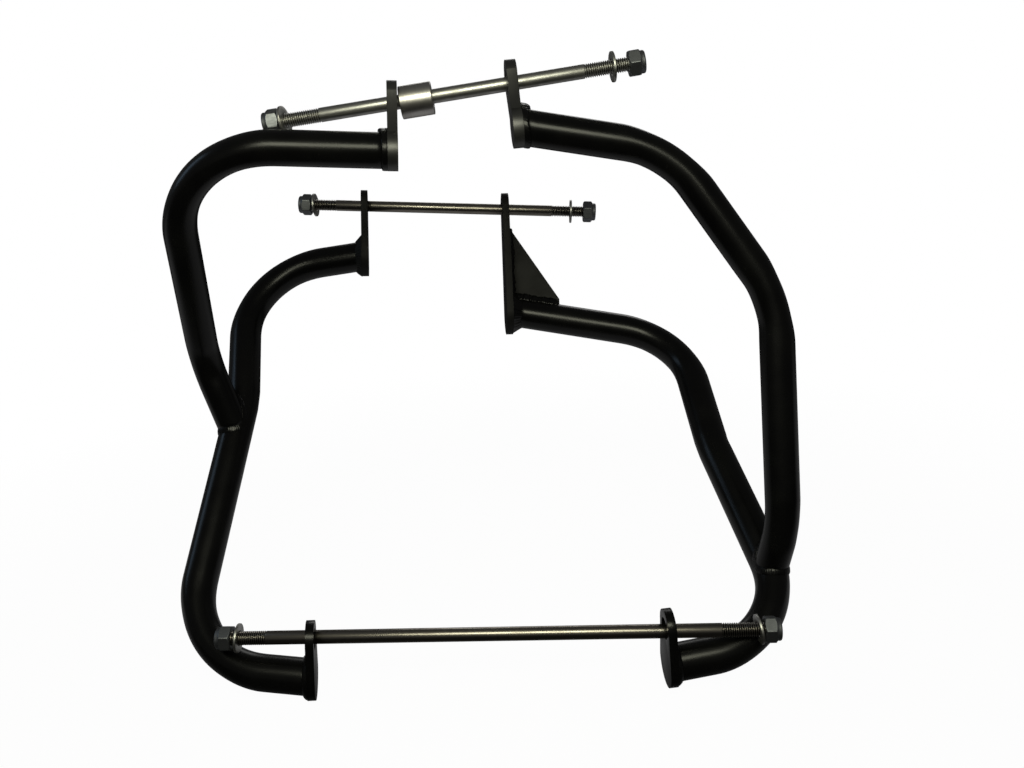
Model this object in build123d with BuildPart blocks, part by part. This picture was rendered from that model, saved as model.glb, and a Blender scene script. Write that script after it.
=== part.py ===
"""Motorcycle crash bars: two welded tube halves held to the engine by three through studs.

Millimetres. +X runs along the lower stud, +Y points away from the open side, +Z is up.
The origin is the middle of the lower stud, halfway between the lower tabs.
Each half has a main tube from its lower tab to its middle tab and an upper tube that
starts at the top tab and ends, coped and welded, on the main tube.
"""

import os
from math import atan2, cos, degrees, radians, sin

from build123d import *

os.makedirs("parts", exist_ok=True)

# Tube stock and centre line bend radii
main_tube_d = 26.9
main_tube_wall = 2.3
upper_tube_d = 25.0
upper_tube_wall = 2.0
left_main_bend_r = [69.4, 75.7, 69.0]
right_main_bend_r = [72.3, 83.8, 60.2]
left_upper_bend_r = [78.5, 72.9]
right_upper_bend_r = [87.0, 104.0, 76.2]

# Studs, all of one thread size
stud_d = 10.0
stud_chamfer = 1.0
top_stud_length = 268.6
top_stud_left_overhang = 94.2
middle_stud_length = 273.5
middle_stud_left_overhang = 62.8
lower_stud_length = 399.4
lower_stud_left_overhang = 71.1

# Locking nuts with a nylon ring in a round collar
nut_across_flats = 17.0
nut_hex_height = 8.2
nut_collar_height = 3.3
nut_corner_chamfer = 1.0
nut_collar_d = 15.6
nut_collar_round = 1.2
nut_lip_thickness = 0.7
nut_lip_opening = 1.1
thread_clearance = 0.1
insert_wall = 1.7
insert_clearance = 0.05
stud_recess = 0.5
top_left_nut_turn = 10.0
top_right_nut_turn = 30.0
middle_left_nut_turn = 0.0
middle_right_nut_turn = 5.0
lower_left_nut_turn = 0.0
lower_right_nut_turn = 10.0

# Flat washers, the gap between each washer and its nut, and how far each one hangs out of square:
# the tilt leans its top to the left and the swing turns it about the upright
washer_d = 21.0
washer_thickness = 1.8
washer_clearance = 0.4
washer_chamfer = 0.3
top_left_washer_gap = 2.2
top_right_washer_gap = 10.2
middle_left_washer_gap = 2.2
middle_right_washer_gap = 10.6
lower_left_washer_gap = 3.2
lower_right_washer_gap = 2.4
top_left_washer_tilt = 4.0
top_right_washer_tilt = -1.6
middle_left_washer_tilt = 6.8
middle_right_washer_tilt = 1.0
lower_left_washer_tilt = -5.0
lower_right_washer_tilt = 7.4
top_left_washer_swing = -10.0
top_right_washer_swing = 4.0
middle_left_washer_swing = -2.0
middle_right_washer_swing = 0.0
lower_left_washer_swing = 2.0
lower_right_washer_swing = 7.6

# Spacer sleeve that hangs on the top stud, beside the inner face of the left tab
spacer_d = 22.6
spacer_length = 22.8
spacer_clearance = 0.9
spacer_hang = 0.8
spacer_chamfer = 0.6
spacer_tab_gap = 0.2

# Tabs: flat plates with an eye for the stud and a base that carries the tube
tab_thickness = 6.0
top_tab_thickness = 7.2
lower_tab_hole_clearance = 5.6
middle_tab_hole_clearance = 2.8
top_tab_hole_clearance = 5.6
tab_edge_break = 0.5
lower_tab_eye_r = 13.5
middle_tab_eye_r = 14.0
top_tab_eye_r = 14.5
lower_tab_margin = 3.4
left_middle_tab_margin = 4.8
right_middle_tab_margin = 7.4
top_tab_margin = 1.4
top_tab_neck = 21.0

# Distance from eye to tube centre down each tab
left_lower_tab_reach = 32.1
right_lower_tab_reach = 29.6
left_middle_tab_reach = 48.0
right_middle_tab_reach = 96.0
left_top_tab_reach = 36.1
right_top_tab_reach = 34.5

# How far each tab's foot leans to the front and splays outward, and how each half's tabs are swung
lower_tab_lean = -5.5
left_middle_tab_lean = 19.5
right_middle_tab_lean = 16.0
top_tab_lean = 24.0
left_lower_tab_splay = 4.5
right_lower_tab_splay = 2.0
left_middle_tab_splay = 4.0
right_middle_tab_splay = -2.3
left_top_tab_splay = 4.0
right_top_tab_splay = 2.0
left_tab_swing = 11.0
right_tab_swing = 8.5

# How far each eye's centre is above the axis of its stud
left_lower_tab_lift = -1.9
right_lower_tab_lift = 2.5
left_middle_tab_lift = 0.8
right_middle_tab_lift = 0.9
left_top_tab_lift = 0.5
right_top_tab_lift = 1.9

# Where the studs' axes pass the inner faces of the tabs
lower_tab_span = 249.0
left_middle_x = -119.4
right_middle_x = 4.5
middle_stud_depth = 287.0
middle_stud_skew = 6.0
middle_stud_height = 277.0
middle_stud_drop = 10.0
left_top_x = -47.7
right_top_x = 29.0
top_stud_depth = 89.45
top_stud_skew = 6.9
top_stud_height = 369.9
top_stud_rise = 7.8
left_lower_rest = Vector(-lower_tab_span / 2, 0, 0)
right_lower_rest = Vector(lower_tab_span / 2, 0, 0)
left_middle_rest = Vector(
    left_middle_x, middle_stud_depth - middle_stud_skew / 2, middle_stud_height + middle_stud_drop / 2
)
right_middle_rest = Vector(
    right_middle_x, middle_stud_depth + middle_stud_skew / 2, middle_stud_height - middle_stud_drop / 2
)
left_top_rest = Vector(left_top_x, top_stud_depth - top_stud_skew / 2, top_stud_height - top_stud_rise / 2)
right_top_rest = Vector(right_top_x, top_stud_depth + top_stud_skew / 2, top_stud_height + top_stud_rise / 2)

# How far behind and below the lower stud the near sides of the main tubes pass at their last bends
left_lower_bend_back = 1.875
left_lower_bend_drop = 12.75
right_lower_bend_back = 10.475
right_lower_bend_drop = 3.35

# Bend points of the tubes from the upper end: the first of each is set from its tab's place on the stud
left_main_bends = [
    left_middle_rest + Vector(-115, -20, -55.2),
    Vector(-216.3, 165.8, 132.6),
    Vector(-231.5, left_lower_bend_back + main_tube_d / 4, -left_lower_bend_drop - main_tube_d / 2),
]
right_main_bends = [
    right_middle_rest + Vector(158.7, -35, -120.7),
    Vector(178.1, 151, 83),
    Vector(223.5, right_lower_bend_back + main_tube_d / 4, -right_lower_bend_drop - main_tube_d / 2),
]
left_upper_bends = [left_top_rest + Vector(-157.5, -33.1, -19.4), Vector(-236, 143.7, 174.2)]
right_upper_bends = [
    Vector(right_top_rest.X + 111.6, 90.1, right_top_rest.Z - 50.4),
    Vector(212.8, 77.3, 216.7),
    Vector(214.7, 47.7, 58.3),
]

# Where each upper tube meets its main tube, measured along that tube from the middle tab
left_branch_distance = 245.0
right_branch_distance = 382.5

# Gusset between the right middle tab and its tube
gusset_thickness = 4.0
gusset_length = 44.0
gusset_eye_distance = 17.5
gusset_nose = 5.0

# Weld beads: each leg is measured on the tab and each length along the tube
lower_weld_leg = 3.3
lower_weld_length = 3.6
left_middle_weld_leg = 4.6
left_middle_weld_length = 5.4
right_middle_weld_leg = 5.8
right_middle_weld_length = 8.0
top_weld_leg = 1.3
top_weld_length = 4.0
weld_toe = 0.4
top_weld_toe = 0.9
weld_taper = 38.0
branch_weld_leg = 3.5
branch_weld_height = 2.6
branch_weld_floor = 2.0
gusset_weld_leg = 4.2


def tab_plane(rest, side, lean, splay, swing, lift, thickness):
    """Plane on a tab's inner face: origin in the eye, X down the tab, Z outward.

    The middle of the plate's thickness stays over the stud's axis.
    """
    tilt = radians(lean)
    straight = Vector(side, 0, 0)
    down = Vector(0, -sin(tilt), -cos(tilt)).rotate(Axis.Y, -side * splay).rotate(Axis.Z, swing)
    outward = straight.rotate(Axis.Y, -side * splay).rotate(Axis.Z, swing)
    origin = rest + Vector(0, 0, lift) + (straight - outward) * (thickness / 2)
    return Plane(origin=origin, x_dir=down, z_dir=outward)


def tube_seat(plane, reach, thickness):
    """Plane on a tab's outer face, centred where the tube lands."""
    origin = plane.origin + plane.x_dir * reach + plane.z_dir * thickness
    return Plane(origin=origin, x_dir=plane.x_dir, z_dir=plane.z_dir)


def make_tab(plane, reach, eye_r, foot_r, base_r, thickness, hole_clearance):
    """Tab with a round eye, straight sides down to the foot radius and a round base."""
    with BuildPart() as tab:
        with BuildSketch(plane):
            with BuildLine():
                CenterArc((0, 0), eye_r, 0, 360)
                CenterArc((reach, 0), foot_r, 0, 360)
            make_hull()
            with Locations((reach, 0)):
                Circle(base_r)
        extrude(amount=thickness)
        chamfer(tab.faces().filter_by(plane).edges(), length=tab_edge_break)
        with Locations(plane.offset(thickness)):
            Hole(radius=(stud_d + hole_clearance) / 2, depth=thickness)
    return tab.part


def extended(seat, toward, distance):
    """Point behind a tube seat, in line with the tube's first run."""
    return seat.origin - (toward - seat.origin).normalized() * distance


def bent_path(points, radii):
    """Centre line of straight runs joined by tangent arcs."""
    with BuildLine() as path:
        FilletPolyline(*points, radius=radii)
    return path.wire()


def branch_point(main_path, distance):
    """Point on a main tube's centre line at a distance from its middle tab."""
    return main_path.position_at(main_tube_d + distance, position_mode=PositionMode.LENGTH)


def round_bar(path, radius):
    """Solid round bar along a centre line."""
    with BuildPart() as bar:
        with BuildSketch(Plane(origin=path @ 0, z_dir=path % 0)):
            Circle(radius)
        sweep(path=path)
    return bar.part


def bent_tube(path, diameter, wall, seats):
    """Hollow tube along a centre line, cut flat where it stands on its tabs."""
    with BuildPart() as tube:
        with BuildSketch(Plane(origin=path @ 0, z_dir=path % 0)):
            Circle(diameter / 2)
            Circle(diameter / 2 - wall, mode=Mode.SUBTRACT)
        sweep(path=path)
        for seat in seats:
            with BuildSketch(seat):
                Circle(diameter)
            extrude(amount=-2 * diameter, mode=Mode.SUBTRACT)
    return tube.part


def coped_tube(path, diameter, wall, seat, main_bar):
    """Upper tube: flat on its tab, saddle cut where it meets the main tube."""
    with BuildPart() as tube:
        add(bent_tube(path, diameter, wall, [seat]))
        add(main_bar, mode=Mode.SUBTRACT)
    return tube.part


def tab_weld(seat, tube_r, leg, length, toe, bar, cutters):
    """Fillet bead round a tube's end on its tab, as thick as its toe at the tube's side."""
    with BuildPart() as bead:
        with BuildSketch(seat):
            Circle(tube_r + leg)
        extrude(amount=length, taper=degrees(atan2(leg - toe, length)))
        add(bar, mode=Mode.SUBTRACT)
        for cutter in cutters:
            add(cutter, mode=Mode.SUBTRACT)
    return bead.part


def branch_weld(main_path, main_bar, upper_path, upper_bar, distance):
    """Bead along the saddle between an upper tube and its main tube."""
    landing = upper_path @ 1
    main_run = main_path.tangent_at(main_tube_d + distance, position_mode=PositionMode.LENGTH)
    back = -(upper_path % 1)
    rise = (back - main_run * back.dot(main_run)).normalized()
    floor = Plane(origin=landing + rise * branch_weld_floor, z_dir=rise)
    with BuildPart() as bead:
        add(round_bar(upper_path, upper_tube_d / 2 + branch_weld_leg))
        add(round_bar(main_path, main_tube_d / 2 + branch_weld_height), mode=Mode.INTERSECT)
        add(main_bar, mode=Mode.SUBTRACT)
        add(upper_bar, mode=Mode.SUBTRACT)
        with BuildSketch(floor):
            Circle(2 * main_tube_d)
        extrude(amount=-2 * main_tube_d, mode=Mode.SUBTRACT)
    return bead.part


def stud_plane(left_rest, right_rest, overhang):
    """Plane at a stud's left end, Z along the stud, X to the front."""
    along = (right_rest - left_rest).normalized()
    front = Vector(0, -1, 0)
    across = (front - along * front.dot(along)).normalized()
    return Plane(origin=left_rest - along * overhang, x_dir=across, z_dir=along)


def make_stud(plane, length):
    """Straight stud with chamfered ends."""
    with BuildPart() as stud:
        with BuildSketch(plane):
            Circle(stud_d / 2)
        extrude(amount=length)
        chamfer(stud.faces().filter_by(plane).edges(), length=stud_chamfer)
    return stud.part


def section_plane(seat):
    """Plane through a seat's axis: X across, Y along the axis."""
    return Plane(origin=seat.origin, x_dir=seat.x_dir, z_dir=-seat.y_dir)


def make_nut(seat, turn):
    """Hexagon nut with a round collar, a rolled lip and a pocket for the nylon ring."""
    flat_r = nut_across_flats / 2
    corner_r = flat_r / cos(radians(30))
    height = nut_hex_height + nut_collar_height
    bore_r = stud_d / 2 + thread_clearance
    pocket_r = stud_d / 2 + insert_wall
    lip_r = stud_d / 2 + nut_lip_opening
    axis = Axis(seat.origin, seat.z_dir)
    with BuildPart() as nut:
        with BuildSketch(seat):
            RegularPolygon(radius=flat_r, side_count=6, major_radius=False, rotation=turn)
        extrude(amount=nut_hex_height)
        with BuildSketch(section_plane(seat)):
            with BuildLine():
                Polyline(
                    (0, 0),
                    (flat_r, 0),
                    (corner_r, nut_corner_chamfer),
                    (corner_r, nut_hex_height - nut_corner_chamfer),
                    (flat_r, nut_hex_height),
                    (0, nut_hex_height),
                    close=True,
                )
            make_face()
        revolve(axis=axis, mode=Mode.INTERSECT)
        with BuildSketch(seat.offset(nut_hex_height)):
            Circle(nut_collar_d / 2)
        extrude(amount=nut_collar_height)
        rim = nut.faces().filter_by(seat).sort_by(axis)[-1]
        fillet(rim.edges(), radius=nut_collar_round)
        with BuildSketch(section_plane(seat)):
            with BuildLine():
                Polyline(
                    (0, 0),
                    (bore_r, 0),
                    (bore_r, nut_hex_height),
                    (pocket_r, nut_hex_height),
                    (pocket_r, height - nut_lip_thickness),
                    (lip_r, height - nut_lip_thickness),
                    (lip_r, height),
                    (0, height),
                    close=True,
                )
            make_face()
        revolve(axis=axis, mode=Mode.SUBTRACT)
    return nut.part


def make_insert(seat):
    """Nylon ring in the nut's collar."""
    with BuildPart() as ring:
        with BuildSketch(seat.offset(nut_hex_height)):
            Circle(stud_d / 2 + insert_wall - insert_clearance)
            Circle(stud_d / 2 + insert_clearance, mode=Mode.SUBTRACT)
        extrude(amount=nut_collar_height - nut_lip_thickness - insert_clearance)
    return ring.part


def make_washer(plane):
    """Flat washer, loose on the stud."""
    with BuildPart() as washer:
        with BuildSketch(plane):
            Circle(washer_d / 2)
        extrude(amount=washer_thickness)
        chamfer(washer.faces().filter_by(plane).edges(), length=washer_chamfer)
        with Locations(plane.offset(washer_thickness)):
            Hole(radius=stud_d / 2 + washer_clearance, depth=washer_thickness)
    return washer.part


def stud_set(name, plane, length, gaps, tilts, swings, turns):
    """Stud with a nut, a nylon ring and a washer at each end, as named pieces."""
    pieces = {f"{name}_stud": make_stud(plane, length)}
    far = plane.offset(length)
    ends = {
        "left": Plane(origin=plane.origin, x_dir=plane.x_dir, z_dir=-plane.z_dir),
        "right": far,
    }
    nut_height = nut_hex_height + nut_collar_height
    for side, end in ends.items():
        seat = end.offset(stud_recess - nut_height)
        pieces[f"{name}_{side}_nut"] = make_nut(seat, turns[side])
        pieces[f"{name}_{side}_nut_insert"] = make_insert(seat)
        flat = seat.offset(-gaps[side] - washer_thickness)
        upright = flat.x_dir.cross(plane.z_dir)
        normal = flat.z_dir.rotate(Axis(flat.origin, flat.x_dir), tilts[side])
        normal = normal.rotate(Axis(flat.origin, upright), swings[side])
        hung = Plane(origin=flat.origin, z_dir=normal)
        pieces[f"{name}_{side}_washer"] = make_washer(hung)
    return pieces


# Tab planes and tube seats
left_lower = tab_plane(
    left_lower_rest,
    -1,
    lower_tab_lean,
    left_lower_tab_splay,
    left_tab_swing,
    left_lower_tab_lift,
    tab_thickness,
)
right_lower = tab_plane(
    right_lower_rest,
    1,
    lower_tab_lean,
    right_lower_tab_splay,
    right_tab_swing,
    right_lower_tab_lift,
    tab_thickness,
)
left_middle = tab_plane(
    left_middle_rest,
    -1,
    left_middle_tab_lean,
    left_middle_tab_splay,
    left_tab_swing,
    left_middle_tab_lift,
    tab_thickness,
)
right_middle = tab_plane(
    right_middle_rest,
    1,
    right_middle_tab_lean,
    right_middle_tab_splay,
    right_tab_swing,
    right_middle_tab_lift,
    tab_thickness,
)
left_top = tab_plane(
    left_top_rest,
    -1,
    top_tab_lean,
    left_top_tab_splay,
    left_tab_swing,
    left_top_tab_lift,
    top_tab_thickness,
)
right_top = tab_plane(
    right_top_rest,
    1,
    top_tab_lean,
    right_top_tab_splay,
    right_tab_swing,
    right_top_tab_lift,
    top_tab_thickness,
)

left_lower_seat = tube_seat(left_lower, left_lower_tab_reach, tab_thickness)
right_lower_seat = tube_seat(right_lower, right_lower_tab_reach, tab_thickness)
left_middle_seat = tube_seat(left_middle, left_middle_tab_reach, tab_thickness)
right_middle_seat = tube_seat(right_middle, right_middle_tab_reach, tab_thickness)
left_top_seat = tube_seat(left_top, left_top_tab_reach, top_tab_thickness)
right_top_seat = tube_seat(right_top, right_top_tab_reach, top_tab_thickness)

# Tabs: the top ones narrow to a neck above their base
lower_base_r = main_tube_d / 2 + lower_tab_margin
left_middle_base_r = main_tube_d / 2 + left_middle_tab_margin
right_middle_base_r = main_tube_d / 2 + right_middle_tab_margin
top_base_r = upper_tube_d / 2 + top_tab_margin
left_lower_tab = make_tab(
    left_lower,
    left_lower_tab_reach,
    lower_tab_eye_r,
    lower_base_r,
    lower_base_r,
    tab_thickness,
    lower_tab_hole_clearance,
)
right_lower_tab = make_tab(
    right_lower,
    right_lower_tab_reach,
    lower_tab_eye_r,
    lower_base_r,
    lower_base_r,
    tab_thickness,
    lower_tab_hole_clearance,
)
left_middle_tab = make_tab(
    left_middle,
    left_middle_tab_reach,
    middle_tab_eye_r,
    left_middle_base_r,
    left_middle_base_r,
    tab_thickness,
    middle_tab_hole_clearance,
)
right_middle_tab = make_tab(
    right_middle,
    right_middle_tab_reach,
    middle_tab_eye_r,
    right_middle_base_r,
    right_middle_base_r,
    tab_thickness,
    middle_tab_hole_clearance,
)
left_top_tab = make_tab(
    left_top,
    left_top_tab_reach,
    top_tab_eye_r,
    top_tab_neck / 2,
    top_base_r,
    top_tab_thickness,
    top_tab_hole_clearance,
)
right_top_tab = make_tab(
    right_top,
    right_top_tab_reach,
    top_tab_eye_r,
    top_tab_neck / 2,
    top_base_r,
    top_tab_thickness,
    top_tab_hole_clearance,
)

# Centre lines: each run goes on behind its tab so that the tab's face can trim it
left_main_path = bent_path(
    [
        extended(left_middle_seat, left_main_bends[0], main_tube_d),
        *left_main_bends,
        extended(left_lower_seat, left_main_bends[-1], main_tube_d),
    ],
    left_main_bend_r,
)
right_main_path = bent_path(
    [
        extended(right_middle_seat, right_main_bends[0], main_tube_d),
        *right_main_bends,
        extended(right_lower_seat, right_main_bends[-1], main_tube_d),
    ],
    right_main_bend_r,
)
left_upper_path = bent_path(
    [
        extended(left_top_seat, left_upper_bends[0], upper_tube_d),
        *left_upper_bends,
        branch_point(left_main_path, left_branch_distance),
    ],
    left_upper_bend_r,
)
right_upper_path = bent_path(
    [
        extended(right_top_seat, right_upper_bends[0], upper_tube_d),
        *right_upper_bends,
        branch_point(right_main_path, right_branch_distance),
    ],
    right_upper_bend_r,
)

# Tubes
left_main_bar = round_bar(left_main_path, main_tube_d / 2)
right_main_bar = round_bar(right_main_path, main_tube_d / 2)
left_upper_bar = round_bar(left_upper_path, upper_tube_d / 2)
right_upper_bar = round_bar(right_upper_path, upper_tube_d / 2)
left_main_tube = bent_tube(
    left_main_path, main_tube_d, main_tube_wall, [left_middle_seat, left_lower_seat]
)
right_main_tube = bent_tube(
    right_main_path, main_tube_d, main_tube_wall, [right_middle_seat, right_lower_seat]
)
left_upper_tube = coped_tube(
    left_upper_path, upper_tube_d, upper_tube_wall, left_top_seat, left_main_bar
)
right_upper_tube = coped_tube(
    right_upper_path, upper_tube_d, upper_tube_wall, right_top_seat, right_main_bar
)

# Gusset: in the plane of the tab's length and the tube's first run
gusset_run = (right_main_bends[0] - right_middle_seat.origin).normalized()
gusset_normal = right_middle.x_dir.cross(gusset_run).normalized()
gusset_plane = Plane(
    origin=right_middle_seat.origin, x_dir=right_middle.x_dir, z_dir=gusset_normal
)
run_slope = gusset_run.dot(gusset_plane.x_dir) / gusset_run.dot(gusset_plane.y_dir)
tube_top = main_tube_d / 2 / cos(radians(gusset_run.get_angle(gusset_plane.y_dir)))
gusset_top = gusset_eye_distance - right_middle_tab_reach
gusset_end = run_slope * gusset_length - tube_top
with BuildPart() as right_middle_gusset:
    with BuildSketch(gusset_plane):
        with BuildLine():
            Polyline(
                (gusset_top, -tab_thickness),
                (gusset_top, 0),
                (gusset_end - gusset_nose, gusset_length),
                (gusset_end + tube_top, gusset_length),
                (0, -tab_thickness),
                close=True,
            )
        make_face()
    extrude(amount=gusset_thickness / 2, both=True)
    with BuildSketch(right_middle_seat):
        Circle(right_middle_tab_reach + right_middle_base_r)
    extrude(amount=-2 * tab_thickness, mode=Mode.SUBTRACT)
    add(right_main_bar, mode=Mode.SUBTRACT)


def gusset_bead(outline, cutters):
    """Fillet bead on the gusset's front face."""
    with BuildPart() as bead:
        with BuildSketch(gusset_plane.offset(gusset_thickness / 2)):
            with BuildLine():
                Polyline(*outline, close=True)
            make_face()
        extrude(amount=gusset_weld_leg, taper=weld_taper)
        for cutter in cutters:
            add(cutter, mode=Mode.SUBTRACT)
    return bead.part


# Welds
left_lower_weld = tab_weld(
    left_lower_seat,
    main_tube_d / 2,
    lower_weld_leg,
    lower_weld_length,
    weld_toe,
    left_main_bar,
    [],
)
right_lower_weld = tab_weld(
    right_lower_seat,
    main_tube_d / 2,
    lower_weld_leg,
    lower_weld_length,
    weld_toe,
    right_main_bar,
    [],
)
left_middle_weld = tab_weld(
    left_middle_seat,
    main_tube_d / 2,
    left_middle_weld_leg,
    left_middle_weld_length,
    weld_toe,
    left_main_bar,
    [],
)
right_middle_weld = tab_weld(
    right_middle_seat,
    main_tube_d / 2,
    right_middle_weld_leg,
    right_middle_weld_length,
    weld_toe,
    right_main_bar,
    [right_middle_gusset.part],
)
bead_root = tab_thickness / 2
bead_start = gusset_weld_leg / 2
bead_end = gusset_length - gusset_weld_leg
right_gusset_tab_weld = gusset_bead(
    [
        (gusset_top + gusset_weld_leg, -bead_root),
        (0, -bead_root),
        (0, gusset_weld_leg),
        (gusset_top + gusset_weld_leg, gusset_weld_leg),
    ],
    [right_middle_tab, right_main_bar, right_middle_weld],
)
right_gusset_tube_weld = gusset_bead(
    [
        (run_slope * bead_start - tube_top - gusset_weld_leg, bead_start),
        (run_slope * bead_start, bead_start),
        (run_slope * bead_end, bead_end),
        (run_slope * bead_end - tube_top - gusset_weld_leg, bead_end),
    ],
    [right_main_bar, right_middle_weld, right_gusset_tab_weld],
)
left_top_weld = tab_weld(
    left_top_seat,
    upper_tube_d / 2,
    top_weld_leg,
    top_weld_length,
    top_weld_toe,
    left_upper_bar,
    [],
)
right_top_weld = tab_weld(
    right_top_seat,
    upper_tube_d / 2,
    top_weld_leg,
    top_weld_length,
    top_weld_toe,
    right_upper_bar,
    [],
)
left_branch_weld = branch_weld(
    left_main_path, left_main_bar, left_upper_path, left_upper_bar, left_branch_distance
)
right_branch_weld = branch_weld(
    right_main_path, right_main_bar, right_upper_path, right_upper_bar, right_branch_distance
)

# Studs with their fasteners
top_plane = stud_plane(left_top_rest, right_top_rest, top_stud_left_overhang)
middle_plane = stud_plane(left_middle_rest, right_middle_rest, middle_stud_left_overhang)
lower_plane = stud_plane(left_lower_rest, right_lower_rest, lower_stud_left_overhang)
fasteners = {
    **stud_set(
        "top",
        top_plane,
        top_stud_length,
        {"left": top_left_washer_gap, "right": top_right_washer_gap},
        {"left": top_left_washer_tilt, "right": top_right_washer_tilt},
        {"left": top_left_washer_swing, "right": top_right_washer_swing},
        {"left": top_left_nut_turn, "right": top_right_nut_turn},
    ),
    **stud_set(
        "middle",
        middle_plane,
        middle_stud_length,
        {"left": middle_left_washer_gap, "right": middle_right_washer_gap},
        {"left": middle_left_washer_tilt, "right": middle_right_washer_tilt},
        {"left": middle_left_washer_swing, "right": middle_right_washer_swing},
        {"left": middle_left_nut_turn, "right": middle_right_nut_turn},
    ),
    **stud_set(
        "lower",
        lower_plane,
        lower_stud_length,
        {"left": lower_left_washer_gap, "right": lower_right_washer_gap},
        {"left": lower_left_washer_tilt, "right": lower_right_washer_tilt},
        {"left": lower_left_washer_swing, "right": lower_right_washer_swing},
        {"left": lower_left_nut_turn, "right": lower_right_nut_turn},
    ),
}

# Spacer on the top stud: its rim stands off the tab by the named gap although the stud is tilted
hang = Vector(0, 0, -spacer_hang)
stud_tilt = radians(top_plane.z_dir.get_angle(-left_top.z_dir))
tab_face = (left_top.origin - top_plane.origin - hang).dot(left_top.z_dir)
spacer_start = (
    tab_face / top_plane.z_dir.dot(left_top.z_dir)
    + spacer_d / 2 * sin(stud_tilt) / cos(stud_tilt)
    + spacer_tab_gap
)
spacer_plane = Plane(
    origin=top_plane.origin + top_plane.z_dir * spacer_start + hang, z_dir=top_plane.z_dir
)
with BuildPart() as top_spacer:
    with BuildSketch(spacer_plane):
        Circle(spacer_d / 2)
    extrude(amount=spacer_length)
    chamfer(top_spacer.faces().filter_by(spacer_plane).edges(), length=spacer_chamfer)
    with Locations(spacer_plane.offset(spacer_length)):
        Hole(radius=stud_d / 2 + spacer_clearance, depth=spacer_length)

pieces = {
    "left_main_tube": left_main_tube,
    "right_main_tube": right_main_tube,
    "left_upper_tube": left_upper_tube,
    "right_upper_tube": right_upper_tube,
    "left_lower_tab": left_lower_tab,
    "right_lower_tab": right_lower_tab,
    "left_middle_tab": left_middle_tab,
    "right_middle_tab": right_middle_tab,
    "left_top_tab": left_top_tab,
    "right_top_tab": right_top_tab,
    "right_middle_gusset": right_middle_gusset.part,
    "left_lower_weld": left_lower_weld,
    "right_lower_weld": right_lower_weld,
    "left_middle_weld": left_middle_weld,
    "right_middle_weld": right_middle_weld,
    "right_gusset_tab_weld": right_gusset_tab_weld,
    "right_gusset_tube_weld": right_gusset_tube_weld,
    "left_top_weld": left_top_weld,
    "right_top_weld": right_top_weld,
    "left_branch_weld": left_branch_weld,
    "right_branch_weld": right_branch_weld,
    "top_spacer": top_spacer.part,
    **fasteners,
}
for name, piece in pieces.items():
    piece.label = name
    export_step(piece, f"parts/{name}.step")
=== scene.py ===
"""Motorcycle crash bars: bent and coped tubes, welded tabs and through studs.

Sizes are in millimetres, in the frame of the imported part. Meshes are written in metres.
"""

import logging
import math
from dataclasses import dataclass
from enum import Enum

import bmesh
import bpy
from mathutils import Matrix, Vector


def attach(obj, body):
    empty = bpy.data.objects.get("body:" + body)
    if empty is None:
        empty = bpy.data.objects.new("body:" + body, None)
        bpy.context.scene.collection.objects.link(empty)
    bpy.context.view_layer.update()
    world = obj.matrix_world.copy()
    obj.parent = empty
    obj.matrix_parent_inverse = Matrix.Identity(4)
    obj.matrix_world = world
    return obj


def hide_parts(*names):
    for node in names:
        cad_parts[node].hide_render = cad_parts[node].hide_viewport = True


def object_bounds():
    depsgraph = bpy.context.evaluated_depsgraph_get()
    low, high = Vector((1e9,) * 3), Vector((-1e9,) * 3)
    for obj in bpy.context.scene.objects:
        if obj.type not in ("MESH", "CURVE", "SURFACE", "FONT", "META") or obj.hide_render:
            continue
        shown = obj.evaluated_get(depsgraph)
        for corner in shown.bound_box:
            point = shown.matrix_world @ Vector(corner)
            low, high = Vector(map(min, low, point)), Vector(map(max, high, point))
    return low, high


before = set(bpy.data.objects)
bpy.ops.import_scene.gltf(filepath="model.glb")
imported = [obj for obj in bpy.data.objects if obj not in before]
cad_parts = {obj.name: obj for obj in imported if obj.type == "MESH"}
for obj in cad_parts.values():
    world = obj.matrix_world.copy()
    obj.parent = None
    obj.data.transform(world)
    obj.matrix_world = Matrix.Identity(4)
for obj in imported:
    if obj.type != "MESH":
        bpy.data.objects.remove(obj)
cad_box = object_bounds()

LOG = logging.getLogger("crash_bars")
BODY = "root"
MM = 0.001
AXES_ATTRIBUTE = "part_axes"
RIM_ANGLE = 1.2
ORIGIN = (0.0, 0.0, 0.0)
UP = (0.0, 0.0, 1.0)
Point = tuple[float, float, float]
Colour = tuple[float, float, float, float]


class Side(Enum):
    """Half of the set, seen from the open front."""

    LEFT = -1
    RIGHT = 1


class End(Enum):
    """End of a stud."""

    LEFT = "left"
    RIGHT = "right"


# Node trees


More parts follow.
